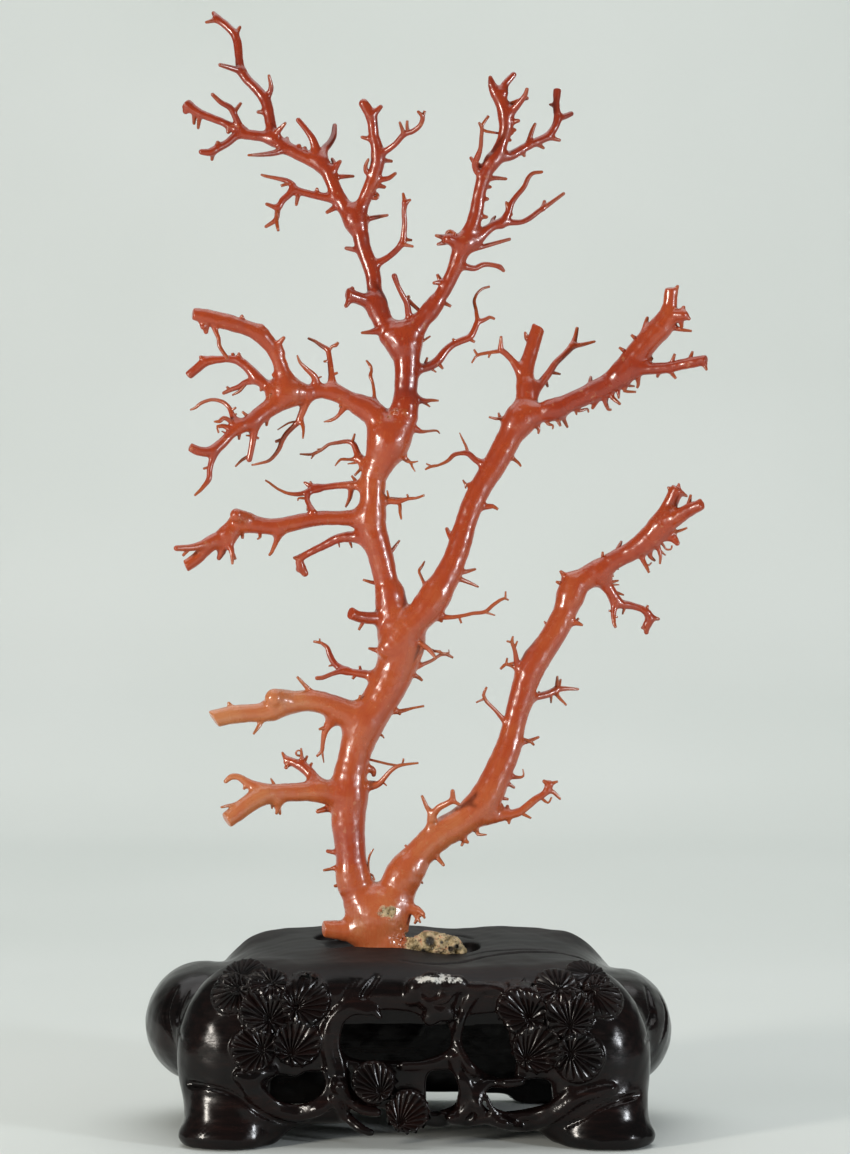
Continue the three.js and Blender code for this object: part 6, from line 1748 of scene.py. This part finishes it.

# %% Its crust, the painted shade in its pits, roughness and relief
pitting = add(tree, "ShaderNodeTexVoronoi", vector=place, scale=900.0)  # pits a millimetre apart
patches = add(tree, "ShaderNodeTexNoise", vector=place, scale=330.0, detail=4.0, roughness=0.65)
CHALK = [(0.3, "#4a3c24"), (0.42, "#7d6b45"), (0.5, "#a3906a"), (0.58, "#c4ae88"), (0.7, "#b06e4a")]
crust_colour_and_pit_shade = add(tree, RAMP, {"stops": CHALK}, fac=patches.outputs["Fac"]).outputs[0]
# Near each Voronoi point the crust colour goes dark brown: painted shade in the pits that the bump below
# sinks.
hole = add(tree, RANGE, value=pitting.outputs["Distance"], i1=0.16, i2=0.3, i3=0.8, i4=0.0)
crust_colour_and_pit_shade = add(tree, MIX, COLOUR_MIX, i0=hole.outputs[0], i6=crust_colour_and_pit_shade, i7=linear("#2a2018")).outputs[2]
ragged = add(tree, MATH, MULTIPLY_ADD, i0=patches.outputs["Fac"], i1=1.6, i2=-0.8)
ragged = add(tree, MATH, {"operation": "ADD"}, i0=crust_and_hole_shade_mark, i1=ragged.outputs[0])
ragged = add(tree, RANGE, value=ragged.outputs[0], i1=0.42, i2=0.62, i3=0.0, i4=1.0)
on_foot = add(tree, MATH, {"operation": "GREATER_THAN"}, i0=crust_and_hole_shade_mark, i1=0.02)
crusty = add(tree, MATH, {"operation": "MULTIPLY"}, i0=ragged.outputs[0], i1=on_foot.outputs[0]).outputs[0]
# Where the crust mark passes 1.2 the colour goes near black: painted shade in the deepest holes of the foot.
near_black_hole_shade = add(tree, RANGE, value=crust_and_hole_shade_mark, i1=1.2, i2=1.65, i3=0.0, i4=0.95)
crust_colour_and_pit_shade = add(tree, MIX, COLOUR_MIX, i0=near_black_hole_shade.outputs[0], i6=crust_colour_and_pit_shade, i7=linear("#130d08")).outputs[2]
add(tree, MIX, COLOUR_MIX, shader.inputs["Base Color"], i0=crusty, i6=red, i7=crust_colour_and_pit_shade)
glossy = add(tree, RANGE, value=clouds.outputs["Fac"], i1=0.3, i2=0.7, i3=0.22, i4=0.34)
add(tree, MIX, {"data_type": "FLOAT"}, shader.inputs["Roughness"], i0=crusty, i2=glossy.outputs[0], i3=0.75)
height = add(tree, MATH, MULTIPLY_ADD, i0=lining.outputs["Fac"], i1=0.25, i2=clouds.outputs["Fac"])
height = add(tree, MATH, MULTIPLY_ADD, i0=flecks.outputs["Fac"], i1=0.15, i2=height.outputs[0])
rugged = add(tree, MATH, {"operation": "MULTIPLY"}, i0=crusty, i1=pitting.outputs["Distance"])
height = add(tree, MATH, MULTIPLY_ADD, i0=rugged.outputs[0], i1=1.5, i2=height.outputs[0])
add(tree, "ShaderNodeBump", None, shader.inputs["Normal"], strength=0.35, distance=0.0006,
    height=height.outputs[0])
shader.inputs["IOR"].default_value = 1.56
shader.inputs["Coat Weight"].default_value = 0.2
shader.inputs["Coat Roughness"].default_value = 0.06
print("coral finish:", len(tree.nodes), "nodes")

# %% [markdown]
# The stand is rosewood stained almost black and rubbed with wax. It reflects softly and
# broadly, and where the light rakes along it a reddish brown and the fine dark lines of the
# grain come through. A little white chalk is left on the front, near the coral.

# %% Polished rosewood
wood_finish, tree, shader = finish("waxed_carved_rosewood")
place = add(tree, "ShaderNodeTexCoord").outputs["Object"]
bands = add(tree, "ShaderNodeMapping", vector=place, scale=(0.09, 1.0, 1.0), rotation=(0.1, 0.05, 0.06))
streaks = add(tree, "ShaderNodeTexNoise", vector=bands.outputs[0], scale=640.0, detail=4.0, roughness=0.6)
broad = add(tree, "ShaderNodeTexNoise", vector=bands.outputs[0], scale=70.0, detail=2.0, roughness=0.5)
dark = add(tree, MATH, {"operation": "MULTIPLY"}, i0=streaks.outputs["Fac"], i1=0.6)
dark = add(tree, MATH, MULTIPLY_ADD, i0=broad.outputs["Fac"], i1=0.5, i2=dark.outputs[0])
ROSEWOOD = [(0.3, "#060505"), (0.5, "#0c0909"), (0.66, "#150c0b"), (0.85, "#24120e")]
wood_colour = add(tree, RAMP, {"stops": ROSEWOOD}, fac=dark.outputs[0]).outputs[0]

# the chalk residue lies where this vector is short
RESIDUE_PLACE, RESIDUE_SIZE = (0.0025, -0.0455, 0.0542), (0.0072, 0.006, 0.0014)
off = add(tree, "ShaderNodeVectorMath", {"operation": "SUBTRACT"}, i0=place, i1=RESIDUE_PLACE)
off = add(tree, "ShaderNodeVectorMath", {"operation": "DIVIDE"}, i0=off.outputs[0], i1=RESIDUE_SIZE)
off = add(tree, "ShaderNodeVectorMath", {"operation": "LENGTH"}, i0=off.outputs[0])
chalky = add(tree, "ShaderNodeTexNoise", vector=place, scale=420.0, detail=4.0, roughness=0.7)
left = add(tree, MATH, MULTIPLY_ADD, i0=chalky.outputs["Fac"], i1=4.0, i2=-1.1)
left = add(tree, MATH, {"operation": "SUBTRACT"}, i0=left.outputs[0], i1=off.outputs["Value"])
residue = add(tree, RANGE, value=left.outputs[0], i1=0.0, i2=0.35, i3=0.0, i4=0.9).outputs[0]
add(tree, MIX, COLOUR_MIX, shader.inputs["Base Color"], i0=residue, i6=wood_colour, i7=linear("#c9c8c2"))
satin = add(tree, RANGE, value=streaks.outputs["Fac"], i1=0.3, i2=0.7, i3=0.15, i4=0.24)
tall = add(tree, "ShaderNodeSeparateXYZ", vector=place)
on_top = add(tree, RANGE, value=tall.outputs["Z"], i1=0.051, i2=0.058, i3=0.0, i4=1.0)
satin = add(tree, MIX, {"data_type": "FLOAT"}, i0=on_top.outputs[0], i2=satin.outputs[0], i3=0.6)
add(tree, MIX, {"data_type": "FLOAT"}, shader.inputs["Roughness"], i0=residue, i2=satin.outputs[0], i3=0.8)
height = add(tree, MATH, MULTIPLY_ADD, i0=chalky.outputs["Fac"], i1=residue, i2=streaks.outputs["Fac"])
add(tree, "ShaderNodeBump", None, shader.inputs["Normal"], strength=0.12, distance=0.0004,
    height=height.outputs[0])
shader.inputs["IOR"].default_value = 1.4
shader.inputs["Specular IOR Level"].default_value = 0.3
print("wood finish:", len(tree.nodes), "nodes")

# %% Give each piece its finish, its body and its place in the model
for obj, piece in coral_objects:
    obj.data.materials.clear()
    obj.data.materials.append(coral_finish)
    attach(obj, "root")
    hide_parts(piece)
for obj in stand_objects:
    obj.data.materials.clear()
    obj.data.materials.append(wood_finish)
    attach(obj, "root")
    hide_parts("stand")
print(len(coral_objects), "coral pieces and", len(stand_objects), "stand pieces placed")

# %% [markdown]
# ## The floor and the light
# The object stands on a plain pale sheet that curves up behind it, in the even light of one
# broad lamp above and two small ones, low at each side. The side lamps are small for their
# distance, and that gives the limbs and the shoulders their tight highlights.

# %% Sheet and lamps
SWEEP = [(-1.4, 0.0), (0.55, 0.0), (0.85, 0.03), (1.05, 0.13), (1.2, 0.33), (1.28, 0.7), (1.3, 1.7)]
sheet = bpy.data.meshes.new("paper_sweep")
curve = []
for (ya, za), (yb, zb) in zip(SWEEP, SWEEP[1:]):
    curve += [(ya + (yb - ya) * s / 4, za + (zb - za) * s / 4) for s in range(4)]
curve.append(SWEEP[-1])
SHEET_HALF = 1.8  # m
sheet.from_pydata([(side * SHEET_HALF, y, z) for y, z in curve for side in (-1, 1)], [],
                  [(2 * i, 2 * i + 1, 2 * i + 3, 2 * i + 2) for i in range(len(curve) - 1)])
sheet.polygons.foreach_set("use_smooth", [True] * len(sheet.polygons))
sweep = put("paper_sweep", sheet)
paper, tree, shader = finish("matt_pale_paper")
shade = add(tree, "ShaderNodeTexNoise", vector=add(tree, "ShaderNodeTexCoord").outputs["Object"], scale=3.0)
PAPER = [(0.3, "#d3d9d5"), (0.7, "#d9dedb")]
add(tree, RAMP, {"stops": PAPER}, shader.inputs["Base Color"], fac=shade.outputs["Fac"])
shader.inputs["Roughness"].default_value = 0.9
sheet.materials.append(paper)
sweep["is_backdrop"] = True

LAMPS = [  # name, place, aim, width, height, watts, colour
    ("left_softbox", (-0.97, -0.74, 0.28), (0, 0, 0.18), 0.17, 0.24, 11.5, "#fff8ee"),
    ("right_softbox", (0.97, -0.68, 0.24), (0, 0, 0.18), 0.13, 0.18, 8, "#f6faff"),
    ("top_softbox", (0.0, 0.3, 1.5), (0, 0.25, 0.1), 2.0, 1.6, 19, "#ffffff"),
]
for name, place, aim, width, height, watts, colour in LAMPS:
    lamp = bpy.data.lights.new(name, "AREA")
    lamp.shape = "RECTANGLE"
    lamp.size, lamp.size_y = width, height
    lamp.energy = watts
    lamp.color = linear(colour)[:3]
    holder = put(name, lamp)
    holder.location = place
    holder.rotation_euler = (Vector(aim) - Vector(place)).to_track_quat("-Z", "Y").to_euler()

world = bpy.data.worlds.new("soft_room")
world.use_nodes = True
world.node_tree.nodes["Background"].inputs["Color"].default_value = linear("#dfe5e3")
world.node_tree.nodes["Background"].inputs["Strength"].default_value = 0.14
bpy.context.scene.world = world
bpy.context.scene.view_settings.view_transform = "Standard"
print(len(LAMPS), "lamps")

# %% Measure the visual box
low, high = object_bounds()
print("visual box in mm:", [round(v * 1000, 1) for v in (*low, *high)])
